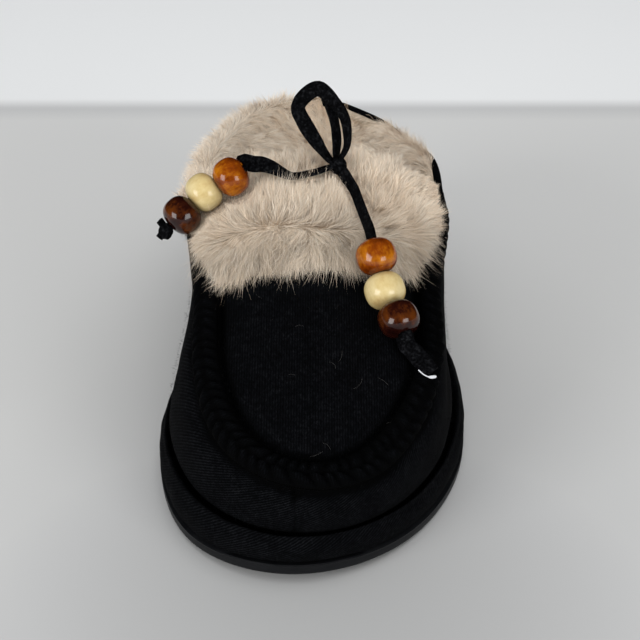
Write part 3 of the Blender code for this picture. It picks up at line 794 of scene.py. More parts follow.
NOISE_SEED = 2             # noise.noise_vector would take its offsets from the clock without one
HAIRS = 60000              # in each of the flap's and the lining's coats
HAIR_WIDTH = 0.00011
# Hairs are painted darker at the root than at the tip, as shade deep in the coat.
ROOT_SHADE = np.array((0.44, 0.30, 0.18))
TIP_SHADES = np.array(((0.92, 0.765, 0.595), (0.85, 0.68, 0.50), (0.98, 0.86, 0.70)))
SKYWARD = np.array((0.0, 0.0, 0.20))   # hairs scatter light from above more than their skin does
HAIR_BEND = 0.5            # share of a hair's length where its blade bends
# How near to a lace and to a bead a hair's root or tip is pressed down, and what length it keeps.
ROOTS_PRESSED = (0.0058, 0.0076, 0.05)
TIPS_PRESSED = (0.0010, 0.0032, 0.35)


def scatter(grid, count, rng, keep=None):
    """Random places on a grid of points, even by area: rows and columns as floats."""
    a = grid[1:, :-1] - grid[:-1, :-1]
    b = grid[:-1, 1:] - grid[:-1, :-1]
    area = np.linalg.norm(np.cross(a, b), axis=-1)
    if keep is not None:
        area = area * keep[:-1, :-1]
    cell = rng.choice(area.size, size=count, p=area.ravel() / area.sum())
    row, column = np.divmod(cell, area.shape[1])
    return row + rng.random(count), column + rng.random(count)


def sample(values, row, column):
    """A grid's values between its points."""
    r = np.clip(row.astype(int), 0, values.shape[0] - 2)
    c = np.clip(column.astype(int), 0, values.shape[1] - 2)
    u, v = (row - r)[:, None], (column - c)[:, None]
    top = values[r, c] * (1 - v) + values[r, c + 1] * v
    low = values[r + 1, c] * (1 - v) + values[r + 1, c + 1] * v
    return top * (1 - u) + low * u


def tuft(places, size, rng):
    """For places on a surface, in metres, a random vector that all hairs of one tuft share."""
    cells = np.floor(places / size + rng.random(places.shape[1])).astype(int)
    _, number = np.unique(cells, axis=0, return_inverse=True)
    number = number.ravel()
    vectors = rng.normal(size=(number.max() + 1, 3))
    centres = np.zeros((number.max() + 1, 3))
    counts = np.bincount(number)[:, None]
    for axis in range(3):
        centres[:, axis] = np.bincount(number, weights=places[:, axis])
    return vectors[number], (centres / counts)[number]


def hair_mesh(name, roots, normals, start, end, length, width, rng, tone):
    """Tapered blades from their roots, each bending from its start direction to its end direction."""
    count = len(roots)
    across = unit(np.cross(start + end, normals) + rng.normal(scale=0.25, size=(count, 3)))
    reach, half = length[:, None], (width / 2)[:, None]
    points = np.empty((count, 5, 3))
    bend = roots + reach * (HAIR_BEND * start + 0.5 * HAIR_BEND**2 * (end - start))
    points[:, 0], points[:, 1] = roots - across * half, roots + across * half
    points[:, 2], points[:, 3] = bend - 0.9 * across * half, bend + 0.9 * across * half
    points[:, 4] = roots + reach * 0.5 * (start + end)
    base = 5 * np.arange(count)[:, None]
    faces = (base + (0, 1, 3, 2)).tolist() + (base + (2, 3, 4)).tolist()
    mesh = bpy.data.meshes.new(name)
    mesh.from_pydata(points.reshape(-1, 3).tolist(), [], faces)
    tips = TIP_SHADES[rng.integers(len(TIP_SHADES), size=count)] * rng.normal(1, 0.07, size=(count, 1))
    paint = np.ones((count, 5, 4))
    paint[:, :2, :3] = ROOT_SHADE
    paint[:, 2:, :3] = tips[:, None]
    paint[..., :3] *= tone
    paint[..., :3] /= np.maximum(paint[..., :3].max(axis=-1, keepdims=True), 1)
    layer = mesh.color_attributes.new("shade", "FLOAT_COLOR", "POINT")
    layer.data.foreach_set("color", paint.astype(np.float32).ravel())
    soft = unit(normals * 0.8 + end * 0.15 + SKYWARD + rng.normal(scale=0.30, size=(count, 3)))
    mesh.shade_smooth()
    mesh.normals_split_custom_set_from_vertices(np.repeat(soft, 5, axis=0).tolist())
    return mesh


def pressed(points, lace_reach, bead_reach, least):
    """Shares of their length that hairs keep when these points of theirs, roots or tips, are near the
    laces and beads that lie on them."""
    share = np.ones(len(points))
    for lead, beads in ((LEAD_LEFT, BEADS_LEFT), (LEAD_RIGHT, BEADS_RIGHT)):
        lying = [(place, LACE_WIDTH / 2, lace_reach) for place in smooth(lead, 0.0015)]
        lying += [(place, BEAD_DIAMETER / 2, bead_reach) for _, place, _, _ in beads]
        for place, radius, reach in lying:
            apart = np.linalg.norm(points - place, axis=1) - radius
            share = np.minimum(share, least + (1 - least) * smoothstep(-0.0003, reach, apart))
    return share


def along_surface(ways, normals):
    """Directions without what they have along the normals."""
    return unit(ways - normals * (ways * normals).sum(axis=1, keepdims=True))


def combed(flow, roots, normals, swirl, seed):
    """Directions of the hairs along the surface, and how upright they stand. flow is that of the
    comb, shorter than 1 where they stand up; swirl is how far neighbours stray from it together."""
    stand = 1 - np.linalg.norm(flow, axis=1, keepdims=True).clip(0, 1)
    stray = np.array([noise.noise_vector(Vector(root) / 0.009 + Vector((seed, 0, 0))) for root in roots])
    flow = unit(along_surface(flow, normals) + swirl * stray)
    return along_surface(flow, normals), stand


def grow(name, grid, comb, count, length, width, seed, finish, keep=None, rise=(0.75, 0.15), clump=0.5,
         tuft_size=0.0024, tone=1.0, tint=(1, 1, 1), trim=None, swirl=0.8, replaced=()):
    """Fur on a grid of points, thinned to the shares in keep and combed by a grid of directions.

    rise is how much each hair leans to the surface's normal at its root and at its tip, trim a grid
    of shares of the length, and tone a number or a grid of them.
    """
    rng = np.random.default_rng(seed)
    row, column = scatter(grid, count, rng, keep)
    roots = sample(grid, row, column)
    normals = unit(sample(grid_normals(grid), row, column))
    flow, stand = combed(sample(comb, row, column), roots, normals, swirl, seed)
    shared, centre = tuft(roots, tuft_size, rng)
    wild = rng.normal(scale=0.16, size=(count, 3))
    at_root, at_tip = rise[0] + 0.06 * stand, rise[1] + 0.20 * stand
    start = unit(flow * (1 - at_root) + normals * at_root + 0.16 * shared + wild)
    end = flow * (1 - at_tip) + normals * at_tip + 0.30 * shared + 1.3 * wild
    end = unit(end + clump * (centre - roots) / tuft_size)
    reach = length * rng.normal(1, 0.24, size=count).clip(0.5, 1.5) * pressed(roots, *ROOTS_PRESSED)
    reach *= pressed(roots + reach[:, None] * 0.5 * (start + end), *TIPS_PRESSED)
    if trim is not None:
        reach *= sample(trim[..., None], row, column)[:, 0]
    girth = width * rng.normal(1, 0.2, size=count).clip(0.5, 1.6)
    patches = np.array([noise.noise(Vector(root) / 0.011) for root in roots])[:, None]
    tones = sample(np.broadcast_to(tone, grid.shape[:2])[..., None], row, column)
    shade = tones * tint * (1 + np.minimum(patches, 0.1) * (0.26, 0.33, 0.40))
    mesh = hair_mesh(name, roots, normals, start, end, reach, girth, rng, shade[:, None])
    add_object(name, mesh, finish, replaced)


def underfur(name, grid, pelt):
    """The skin that a coat of hair stands in, coloured darker as painted shade deep in the coat."""
    add_object(name, new_mesh(name, grid, [f[::-1] for f in grid_faces(*grid.shape[:2])]), pelt)


CUFF_DEPTH = 0.0062        # the cuff's underfur at its thickest
# Shares of the cuff's way from its lower edge to the throat, and of its depth there.
CUFF_PROFILE = ((0, 0.07, 0.17, 0.34, 0.84, 1), (0.10, 0.62, 0.95, 1, 0.72, 0.50))
CUFF_ROWS = (25, 8, 9)      # on top, round the throat and underneath
# The flap's tone from its lower edge to the throat: painted shade makes it darker low on its front.
CUFF_PAINTED_SHADE = ((0, 0.10, 0.25, 0.45, 1), (0.45, 0.49, 0.76, 0.99, 1.07))
CUFF_UNDER = 0.0022        # from the upper's inside to the flap's skin there


def cuff_section(ks):
    """Rows of points across the vamp from inside its outer seam, and down the inner wall."""
    inner = [wall_point(ring_at(TOE + ks), share) for share in np.linspace(1, 0.95, 4)[1:]]
    vamp = vamp_grid(ks, np.linspace(-0.93, 1, 40))
    section = np.concatenate([vamp, np.stack(inner, axis=1)], axis=1)
    for _ in range(6):
        section[:, 1:-1] = (section[:, :-2] + 2 * section[:, 1:-1] + section[:, 2:]) / 4
    return section


def cuff_skin():
    """The cuff's underfur: over the vamp to the throat, round its edge and some way back inside."""
    top, turn, below = CUFF_ROWS
    fine = np.linspace(CUFF_FIRST, VAMP_ROWS, 61)
    section = cuff_section(fine)
    c = np.linspace(-1, 1, section.shape[1])
    outer = 1.5 * smoothstep(0.72, 1.05, -c)
    inner = 3.1 * smoothstep(0.60, 1.05, c)
    first = CUFF_FIRST + 1.15 - 0.20 * smoothstep(0.2, 0.6, abs(c)) + outer + inner
    ks = first + np.linspace(0, 1, top)[:, None] * (VAMP_ROWS - first)
    row = (ks - CUFF_FIRST) / (fine[1] - fine[0])
    column = np.broadcast_to(np.arange(len(c)), row.shape)
    over = sample(section, row.ravel(), column.ravel().astype(float)).reshape(*row.shape, 3)
    out = grid_normals(over)
    c = c[:, None]
    side = np.sqrt(np.clip(1 - c**6, 0.06, 1))
    thick = np.interp(np.linspace(0, 1, top), *CUFF_PROFILE)[:, None, None] * side * CUFF_DEPTH
    rows = [at + n * (GAP + t) for at, n, t in zip(over, out, thick)]
    edge, normal, back = over[-1], out[-1], unit(over[-1] - over[-3])
    radius = (thick[-1] + WALL + CUFF_UNDER) / 2
    centre = edge + normal * (thick[-1] - radius)
    for angle in np.linspace(math.pi / 2, -math.pi / 2, turn + 2)[1:-1]:
        rows.append(centre + radius * (0.8 * math.cos(angle) * back + math.sin(angle) * normal))
    under = cuff_section(np.linspace(VAMP_ROWS, VAMP_ROWS - 3, below))
    return np.stack(rows + list(under + grid_normals(under) * (WALL + CUFF_UNDER)))


def cuff_comb(grid):
    """The hairs part along a wavy line low on the cuff: forward below it and back above it, and
    outwards along it and at the cuff's ends."""
    top, turn, below = CUFF_ROWS
    way = np.concatenate([np.linspace(0, 1, top), np.ones(turn + below)])[:, None, None]
    c = np.linspace(-1, 1, grid.shape[1])[None, :, None]
    wave, ripple = (np.array([noise.noise(Vector((pitch * at, row, 0))) for at in c.ravel()])[:, None]
                    for pitch, row in ((2.6, 3), (9.0, 7)))
    parting = np.maximum(0.25 + 0.07 * c + 0.10 * wave + 0.06 * ripple, 0.21)
    lean = 2 * smoothstep(parting - 0.19, parting + 0.19, way) - 1
    low = smoothstep(0.65, 0.40, way)
    fan = 0.35 + (0.40 + 0.50 * smoothstep(0.0, 0.2, way) * low) * smoothstep(0.20, 0.8, abs(c)) * low
    fan = fan + 1.1 * smoothstep(0.40, 0.65, way) * smoothstep(0.60, 0.92, abs(c))
    sway = 0.35 * smoothstep(0.20, 0.45, way) * smoothstep(0.8, 0.3, abs(c))
    return lean * unit(np.gradient(grid, axis=0)) + (fan * c - sway) * np.array((-1.0, 0.0, 0.0))


def cover_cuff(hair, pelt):
    """The flap: its underfur, a coat in front and one behind, and a thin fringe at its lower edge."""
    cuff = cuff_skin()
    underfur("cuff_underfur", cuff, pelt)
    top, turn, _ = CUFF_ROWS
    rows = np.arange(len(cuff))[:, None]
    edge = abs(np.linspace(-1, 1, cuff.shape[1]))[None]
    seen = np.where(rows < top + turn, 1, 0.25) * (1 - 0.35 * smoothstep(0.84, 1.0, edge))
    trim = 1 - 0.25 * smoothstep(0.70, 1.0, edge) * np.ones(cuff.shape[:2])
    trim[13:, :7] *= 0.40      # beside the throat, on the outer side
    # Painted shade and light: the flap's hairs are darker low on its front, paler towards the throat and a
    # little paler round its edge and underneath.
    tone = np.full(cuff.shape[:2], 1.05)
    tone[:top] = np.interp(np.linspace(0, 1, top), *CUFF_PAINTED_SHADE)[:, None]
    comb = cuff_comb(cuff)
    grow("cuff_fur_front", cuff, comb, HAIRS, 0.0076, HAIR_WIDTH, 11, hair, keep=seen * (rows < 11),
         rise=(0.34, -0.10), tone=tone, clump=0.7, tuft_size=0.0028, trim=trim, replaced=["fur_cuff"])
    grow("cuff_fur_back", cuff, comb, HAIRS, 0.0080, HAIR_WIDTH, 12, hair, keep=seen * (rows >= 10),
         rise=(0.36, -0.04), tone=tone, trim=trim)
    # The fringe is painted darker, as shade at the flap's lower edge.
    grow("cuff_fringe", cuff, comb, HAIRS // 7, 0.0112, 0.00007, 16, hair, keep=seen * (rows < 3),
         rise=(0.30, 0.0), clump=0.4, tone=0.68, trim=trim, swirl=0.3)


LINING_TINT = (1.0, 1.025, 1.05)
LINING_ROWS = 25           # down the inside of the wall
LINING_STEPS = np.linspace(TOE + VAMP_ROWS, RING + TOE - VAMP_ROWS, 73)
# The lining from the rim inwards and down: depth from the wall's outside, height above its top.
RIM = ((0.0014, -0.0006), (0.0020, 0.0000), (0.0032, 0.0002), (0.0050, -0.0006))
# How far the lining spills over the rim, at steps round the shoe.
SPILL = ((54, 60, 70, 73, 80, 82, 86, 88, 90), (1.0, 1.0, 0.6, 0.0, 0.0, 0.4, 0.2, 0.0, 0.0))


def bare_rim():
    """Where the felt's cut edge shows past the lining: at the back, towards the outer side, and
    beside the throat on that side."""
    back = smoothstep(72.5, 75.0, LINING_STEPS) * smoothstep(81.0, 79.0, LINING_STEPS)
    return back + smoothstep(87.2, 89.0, LINING_STEPS)


def lining_skin():
    """The lining's underfur: over the rim and down the inside of the wall."""
    ring = ring_at(LINING_STEPS)
    wall = np.stack([wall_point(ring, share) for share in np.linspace(1, 0.28, LINING_ROWS)])
    out = grid_normals(wall[::-1])[::-1]
    up = unit(wall[0] - wall[2])
    spill = np.interp(LINING_STEPS, *SPILL)[:, None]
    bare = bare_rim()[:, None]
    rows = [wall[0] - out[0] * (depth * (1 - 0.9 * spill * (depth < 0.002)) + 0.0011 * bare) + up * height
            for depth, height in RIM]
    heel = smoothstep(12, 4, abs(LINING_STEPS - RING))[:, None]
    for share, at, n in zip(np.linspace(0, 1, LINING_ROWS)[1:], wall[1:], out[1:]):
        pile = WALL + 0.0030 + (0.0070 + 0.0110 * heel) * smoothstep(0, 0.5, share)
        rows.append(at - n * pile)
    return np.stack(rows)


def lining_comb(grid):
    """Hairs hang down the inside, and lean out over the rim."""
    level = np.arange(len(grid))[:, None, None]
    spill = np.interp(LINING_STEPS, *SPILL)[None, :, None]
    down = 1 - 1.6 * spill * (1 - smoothstep(1.0, 4.5, level))
    side = np.linspace(-1, 1, grid.shape[1])[None, :, None]
    return down * unit(np.gradient(grid, axis=0)) - 0.25 * side * unit(np.gradient(grid, axis=1))


def cover_lining(hair, pelt):
    """The lining: its underfur, a coat over the rim and one down the inside, both painted paler as light
    in the shoe's shaded hollow.
    """
    lining = lining_skin()
    underfur("lining_underfur", lining, pelt)
    comb = lining_comb(lining)
    rim = np.ones(lining.shape[:2])
    rim[:len(RIM)] -= 0.96 * bare_rim()
    rim[9:] = 0
    wall = np.ones(lining.shape[:2])
    wall[:8] = 0
    # Painted light: the lining's hairs are brightened, those down the inside most, against the shade in
    # the shoe's hollow.
    grow("lining_fur_rim", lining, comb, HAIRS, 0.0056, HAIR_WIDTH, 13, hair, keep=rim,
         rise=(0.40, -0.05), tone=1.12, tint=LINING_TINT, swirl=0.6, replaced=["fur_lining"])
    grow("lining_fur_wall", lining, comb, HAIRS, 0.0080, 0.00012, 14, hair, keep=wall,
         rise=(0.45, 0.0), tone=1.30, tint=LINING_TINT, swirl=0.5)


def make_toe_lining(pelt):
    """A thin lining inside the forefoot: up the walls and under the vamp."""
    steps = TOE + np.linspace(-VAMP_ROWS, VAMP_ROWS, 73)
    wall = wall_grid(steps, np.linspace(0.12, 0.97, 14))
    vamp = vamp_grid(VAMP_STEPS[2:], VAMP_QS * 0.97)
    lining = WALL + 0.0006
    rows = (wall - grid_normals(wall) * lining, vamp - grid_normals(vamp) * lining)
    points = np.concatenate([grid.reshape(-1, 3) for grid in rows])
    faces = grid_faces(*wall.shape[:2])
    faces += grid_faces(*vamp.shape[:2], start=wall.shape[0] * wall.shape[1])
    add_object("toe_lining", new_mesh("toe_lining", points, faces), pelt)


def make_footbed(fleece, hair):
    """The CAD's footbed gets a fleece finish and a short, uneven pile."""
    for slot in bpy.data.objects["insole"].material_slots:
        slot.link = "OBJECT"
        slot.material = fleece
    ring = ring_at(np.arange(0, RING))
    depth = ring["ledge"] + WALL + 0.0010
    outer = inset(ring, depth + 0.0008, ring["seat"] + GAP + 0.0040)
    spine = outer * (0.0, 1.0, 1.0) + (outer.mean(axis=0)[0], 0, 0)
    spine[:, 1] = np.clip(spine[:, 1], -0.085, 0.095)
    grid = np.stack([outer + (spine - outer) * t for t in np.linspace(0, 1, 20)])
    comb = np.broadcast_to((-0.4, 0.7, 0.0), grid.shape)
    grow("footbed_pile", grid, comb, HAIRS // 3, 0.0042, 0.00022, 15, hair, rise=(0.8, 0.55))


# ---- loose fibres ---------------------------------------------------------------------------------

# Stray pale fibres: step from the toe, place across the vamp, length, turn.
LINT = (
    (7.7, -0.18, 0.0040, 0.9), (7.4, -0.16, 0.0030, 1.5), (6.6, -0.35, 0.0046, 0.4),
    (6.9, -0.66, 0.0036, 2.3), (9.4, 0.21, 0.0030, 0.7), (2.9, -0.16, 0.0042, 0.4),
    (5.4, -0.93, 0.0040, 2.4), (10.9, 0.90, 0.0050, 1.3), (7.1, 0.26, 0.0020, 0.2),
    (11.2, 0.49, 0.0026, 2.6), (3.7, -0.37, 0.0028, 2.0), (11.0, -0.40, 0.0024, 0.5),
)
LINT_THIN = 0.00002        # half a stray fibre's width
# Fuzz: how many fibres stand on the side wall and on the vamp, and how wide they are.
FUZZ_WALL = 9000
FUZZ_VAMP = 3000
FUZZ_WIDTH = 0.00006


def make_fuzz(finish):
    """Loose fibres that stand off the felt, seen along its outline."""
    rng = np.random.default_rng(21)
    wall = wall_grid(WALL_STEPS, WALL_SHARES[1:])
    row, column = scatter(wall, FUZZ_WALL, rng)
    roots, normals = sample(wall, row, column), unit(sample(ring_normals(wall), row, column))
    vamp = vamp_grid(VAMP_STEPS[:26], VAMP_QS)
    row, column = scatter(vamp, FUZZ_VAMP, rng)
    roots = np.concatenate([roots, sample(vamp, row, column)])
    normals = np.concatenate([normals, unit(sample(grid_normals(vamp), row, column))])
    count = len(roots)
    start = unit(normals * 0.7 + rng.normal(scale=0.5, size=(count, 3)))
    end = unit(normals * 0.3 + rng.normal(scale=0.8, size=(count, 3)))
    length = rng.uniform(0.0006, 0.0017, size=count)
    width = np.full(count, FUZZ_WIDTH)
    mesh = hair_mesh("felt_fuzz", roots, normals, start, end, length, width, rng, 0.009)
    add_object("felt_fuzz", mesh, finish)


def lint_line(tree, k, q, length, heading, bend):
    """A curved line on the felt, from a place on the vamp, that ends early where the felt does."""
    x, y = vamp_grid([k], [q])[0, 0][:2]
    line, steps = [], 8
    for _ in range(steps + 1):
        hit, normal, _, _ = tree.ray_cast(Vector((x, y, 1)), Vector((0, 0, -1)))
        if hit is None:
            break
        line.append(np.array(hit + normal * (0.0012 if k > 5 else 0.0018)))
        x, y = x + math.cos(heading) * length / steps, y + math.sin(heading) * length / steps
        heading += bend * 0.5
    return np.array(line)


def make_lint(tree, finish):
    """Fine curved hairs that have settled on the felt."""
    rings, faces = [], []
    for number, row in enumerate(LINT):
        line = lint_line(tree, *row, np.random.default_rng(40 + number).uniform(-0.5, 0.5))
        faces += grid_faces(len(line), 3, closed=True, start=len(rings))
        along = unit(np.gradient(line, axis=0))
        side = unit(np.cross(along, (0, 0, 1)))
        for at, s, a in zip(line, side, along):
            rings += [at + LINT_THIN * s, at + LINT_THIN * np.cross(s, a), at - LINT_THIN * s]
    add_object("lint", new_mesh("lint", rings, faces), finish)


# ---- the lace and its beads -----------------------------------------------------------------------

FRONT = np.array((0.0, -0.88, 0.47))   # where the lace's broad face looks when it is not turned
# The lace's section, as shares of half its width and half its thickness: its face, then its back.
LACE_FACE = (
    (1.0, 0.0), (0.97, 0.55), (0.86, 0.92), (0.45, 1.0), (0, 0.94), (-0.45, 1.0), (-0.86, 0.92),
    (-0.97, 0.55),
)
LACE_SECTION = LACE_FACE + tuple((-w, -t) for w, t in LACE_FACE)
# How the laces twist, in degrees, and how their width spreads, at shares of their length.
TURNS_TALL = ((0, 70), (0.08, 50), (0.15, 22), (0.24, 5), (0.34, 8), (0.39, 35), (0.45, 12), (0.54, 5),
              (0.64, 38), (0.76, 46), (0.83, 58), (0.90, 70), (1, 80))
TURNS_LOW = ((0, 75), (0.15, 50), (0.4, 50), (0.6, 85), (1, 80))
TURNS_LEFT = ((0, 70), (0.10, 65), (0.20, 60), (0.25, 45), (0.31, 15), (0.38, 3), (0.47, 0),
              (0.505, 20), (0.53, 30), (1, 30))
TURNS_RIGHT = ((0, 30), (0.15, 50), (0.4, 50), (0.8, 20), (0.9, 0), (1, 0))
EVEN = ((0, 1), (1, 1))
SPREAD_TALL = ((0, 1), (0.12, 1), (0.22, 1.2), (0.55, 1.2), (0.66, 1), (1, 1))
SPREAD_LEFT = ((0, 1), (0.28, 1), (0.38, 1.25), (0.47, 1.35), (0.50, 1.2), (0.53, 1), (1, 1))
SPREAD_RIGHT = ((0, 1), (0.77, 1), (0.83, 1.3), (0.96, 1.35), (1, 1.2))
# The cut ends of the left tail's knot: each goes this way from its centre.
STUBS = ((-0.0019, 0.0004, 0.0036), (-0.0022, -0.0008, -0.0022))
STUB_SIZE = (0.0026, 0.0014)
# The white thread's radius and how much thicker its end is, and its way from the right tail's end.
THREAD_RADIUS = (0.00018, 0.00032)
THREAD = ((-0.0042, -0.0014, 0.0016), (-0.0024, -0.0020, 0.0002), (-0.0008, -0.0019, -0.0006),
          (0.0007, -0.0014, -0.0008), (0.0013, -0.0012, -0.0008))


def smooth(route, step):
    """A smooth curve through the route's points, read every step or so."""
    route = np.array(route)
    chord = np.sqrt(np.linalg.norm(np.diff(route, axis=0), axis=1))
    at = np.concatenate([[0], np.cumsum(chord)])
    slopes = np.gradient(route, at, axis=0)
    points = [route[0]]
    for i, width in enumerate(chord):
        a, b, start, end = route[i], route[i + 1], slopes[i] * width, slopes[i + 1] * width
        count = max(1, round(np.linalg.norm(b - a) / step))
        for u in np.arange(1, count + 1) / count:
            blend = (2 * u**3 - 3 * u**2 + 1, 3 * u**2 - 2 * u**3, u**3 - 2 * u**2 + u, u**3 - u**2)
            points.append(blend[0] * a + blend[1] * b + blend[2] * start + blend[3] * end)
    return np.array(points)


def strung(lead, beads, end):
    """The route of a tail: its lead, straight through each bead, and its end."""
    route = list(lead)
    for _, centre, run, length in beads:
        half = STRAIGHT_RUN * length * np.array(run) / np.linalg.norm(run)
        route += [tuple(centre - half), centre, tuple(centre + half)]
    return route + list(end)


def lace_frames(points, turns):
    """Along points, the directions of the lace's width and of its face, turned by degrees at shares."""
    along = unit(np.gradient(points, axis=0))
    reach = travelled(points)
    shares, degrees = zip(*turns)
    angle = np.radians(np.interp(reach / reach[-1], shares, degrees))[:, None]
    width = unit(np.cross(along, FRONT))
    for i in range(1, len(width)):
        if np.dot(width[i], width[i - 1]) < 0:
            width[i] = -width[i]
    face = np.cross(along, width)
    return width * np.cos(angle) + face * np.sin(angle), face * np.cos(angle) - width * np.sin(angle)


def ribbon_mesh(name, points, turns, size=(LACE_WIDTH, LACE_THICKNESS), seed=0, spread=EVEN):
    """A flat lace along the points, with slightly uneven edges; spread widens it at shares."""
    width, face = lace_frames(points, turns)
    wide = np.interp(np.linspace(0, 1, len(points)), *zip(*spread))
    rings = []
    for i, at in enumerate(points):
        half = size[0] / 2 * wide[i] * (1 + 0.07 * noise.noise(Vector((i * 0.12, seed, 0))))
        rings.append([at + width[i] * (w * half) + face[i] * (t * size[1] / 2) for w, t in LACE_SECTION])
    faces = [f[::-1] for f in tube_faces(len(rings), len(LACE_SECTION))]
    mesh = new_mesh(name, np.concatenate(rings), faces)
    change(mesh, lambda work: bmesh.ops.recalc_face_normals(work, faces=work.faces))
    return mesh


def tie(point):
    """A place inside the knot, to start or end a lace that is tied at a point beside it."""
    return tuple(np.array(KNOT_CENTRE) + 0.35 * (np.array(point) - KNOT_CENTRE))


def make_cord(name, route, turns, finish, with_pieces, spread):
    """A lace along its route, which stands for the CAD's cord of its name."""
    points = smooth(route, 0.0007)
    lace = add_object(name, ribbon_mesh(name, points, turns, seed=len(name), spread=spread), finish)
    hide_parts(name.replace("suede", "lace"))


def make_thread(finish):
    """The white thread in the lace's cut end: thin, with a rounded, thicker end."""
    points = smooth([np.array(END_RIGHT[-1]) + way for way in THREAD], 0.0002)
    share = np.linspace(0, 1, len(points))
    thin, more = THREAD_RADIUS
    radius = thin + more * smoothstep(0.55, 0.75, share) * np.sqrt(np.clip(1 - share**24, 0.02, 1))
    width, face = lace_frames(points, ((0, 0), (1, 0)))
    angles = np.linspace(0, 2 * math.pi, 10, endpoint=False)
    rings = [[at + r * (math.cos(a) * w + math.sin(a) * f) for a in angles]
             for at, r, w, f in zip(points, radius, width, face)]
    mesh = new_mesh("white_thread", np.concatenate(rings), tube_faces(len(rings), len(angles)))
    return add_object("white_thread", mesh, finish)


def make_bead(side, colour, centre, run, length, finish):
    """A turned barrel with a rounded mouth at each end of its bore, which lies along run."""
    name, count = f"wooden_{side}_{colour}", 56
    power, bore = 2 / BEAD_BARREL, BEAD_BORE / 2 * 0.9
    mouth = math.acos((2 * bore / BEAD_DIAMETER) ** (1 / power))
    turns = np.linspace(mouth, -mouth, 37)
    tall = length * BEAD_FULL[1] / 2
    across = BEAD_FULL[0] * BEAD_DIAMETER / 2 * np.cos(turns) ** power
    along = np.sign(turns) * abs(np.sin(turns) / math.sin(mouth)) ** power * tall
    outline = list(zip(across, along))
    outline += [(bore - 0.0003, z) for z in (0.0003 - tall, -0.7 * tall, 0.7 * tall, tall - 0.0003)]
    angles = np.linspace(0, 2 * math.pi, count, endpoint=False)
    rings = [[(r * math.cos(a), r * math.sin(a), z) for a in angles] for r, z in outline]
    faces = grid_faces(len(rings), count, closed=True)
    last = (len(rings) - 1) * count
    faces += [(last + i, last + (i + 1) % count, (i + 1) % count, i) for i in range(count)]
    mesh = new_mesh(name, np.concatenate(rings), [f[::-1] for f in faces])
    bead = add_object(name, mesh, finish, [f"bead_{side}_{colour}"])
    bead.location = centre
    bead.rotation_euler = Vector(run).to_track_quat("Z", "Y").to_euler()
    return bead


def make_knot(name, centre, size, axis, wraps, seed, finish, replaced):
    """A tied lump of lace: an ellipsoid with rounded wraps across its axis."""
    mesh = bpy.data.meshes.new(name)
    work = bmesh.new()
    bmesh.ops.create_uvsphere(work, u_segments=48, v_segments=28, radius=0.5)
    for vert in work.verts:
        p = vert.co.copy()
        turn = p.dot(Vector(axis).normalized()) * wraps
        swell = 1 + 0.09 * abs(math.cos(math.pi * turn)) + 0.05 * noise.noise(p * 5 + Vector((seed, 0, 0)))
        p *= swell * 0.97
        vert.co = Vector(centre) + Vector(a * b for a, b in zip(p, size))
    work.to_mesh(mesh)
    work.free()
    mesh.shade_smooth()
    return add_object(name, mesh, finish, [replaced])


def make_stubs(finish):
    """The left tail's cut ends, out of its knot."""
    stubs = []
    for i, end in enumerate(STUBS):
        name, start = f"suede_stub_{i + 1}", np.array(END_KNOT_CENTRE)
        route = (start, start + 0.5 * np.array(end) + (0, 0.0002, 0.0003), start + np.array(end))
        mesh = ribbon_mesh(name, smooth(route, 0.0003), ((0, 60), (1, 40)), STUB_SIZE, seed=i)
        stubs.append(add_object(name, mesh, finish))
    return stubs


def make_lace(suede, woods, thread):
    """The bow: its knots, beads and cut ends, its two loops and its two tails."""
    make_knot("suede_knot", KNOT_CENTRE, KNOT_SIZE, (0.35, 0, 1), 2.4, 3, suede, "lace_knot")
    end_knot = make_knot("suede_end_knot", END_KNOT_CENTRE, END_KNOT_SIZE, (1, 0, 0.5), 2.0, 5, suede,
                         "lace_end_knot")
    left, right = ([make_bead(side, *row, woods[row[0]]) for row in table]
                   for side, table in (("left", BEADS_LEFT), ("right", BEADS_RIGHT)))
    stubs = make_stubs(suede)
    for name, loop, turns, spread in (("suede_loop_tall", LOOP_TALL, TURNS_TALL, SPREAD_TALL),
                                      ("suede_loop_low", LOOP_LOW, TURNS_LOW, EVEN)):
        make_cord(name, (tie(loop[0]), *loop, tie(loop[-1])), turns, suede, (), spread)
    make_cord("suede_tail_left", strung((tie(LEAD_LEFT[0]), *LEAD_LEFT), BEADS_LEFT, END_LEFT), TURNS_LEFT,
              suede, [*left, end_knot, *stubs], SPREAD_LEFT)
    make_cord("suede_tail_right", strung((tie(LEAD_RIGHT[0]), *LEAD_RIGHT), BEADS_RIGHT, END_RIGHT),
              TURNS_RIGHT, suede, [*right, make_thread(thread)], SPREAD_RIGHT)


# ---- the stage ------------------------------------------------------------------------------------

FLOOR_CORNERS = ((-6, -4, 0), (6, -4, 0), (6, 8, 0), (-6, 8, 0))
# The floor's painted soft shadow near the shoe: centre, half sizes and depth of each pool.
SHADOW_POOLS = (((0.0, -0.135), (0.10, 0.09), 0.19), ((0.01, -0.03), (0.115, 0.19), 0.14))
# The floor's colour from the front to far behind, where the pale wall starts: darker towards the front as
# painted shade, with a darker line at the wall's foot.
FLOOR_COLOURS = (
    (0.0, (0.385, 0.385, 0.38)), (0.25, (0.505, 0.505, 0.50)), (0.45, (0.595, 0.593, 0.58)),
    (0.82, (0.665, 0.662, 0.648)), (0.842, (0.57, 0.57, 0.565)), (0.860, (0.88, 0.885, 0.88)),
)
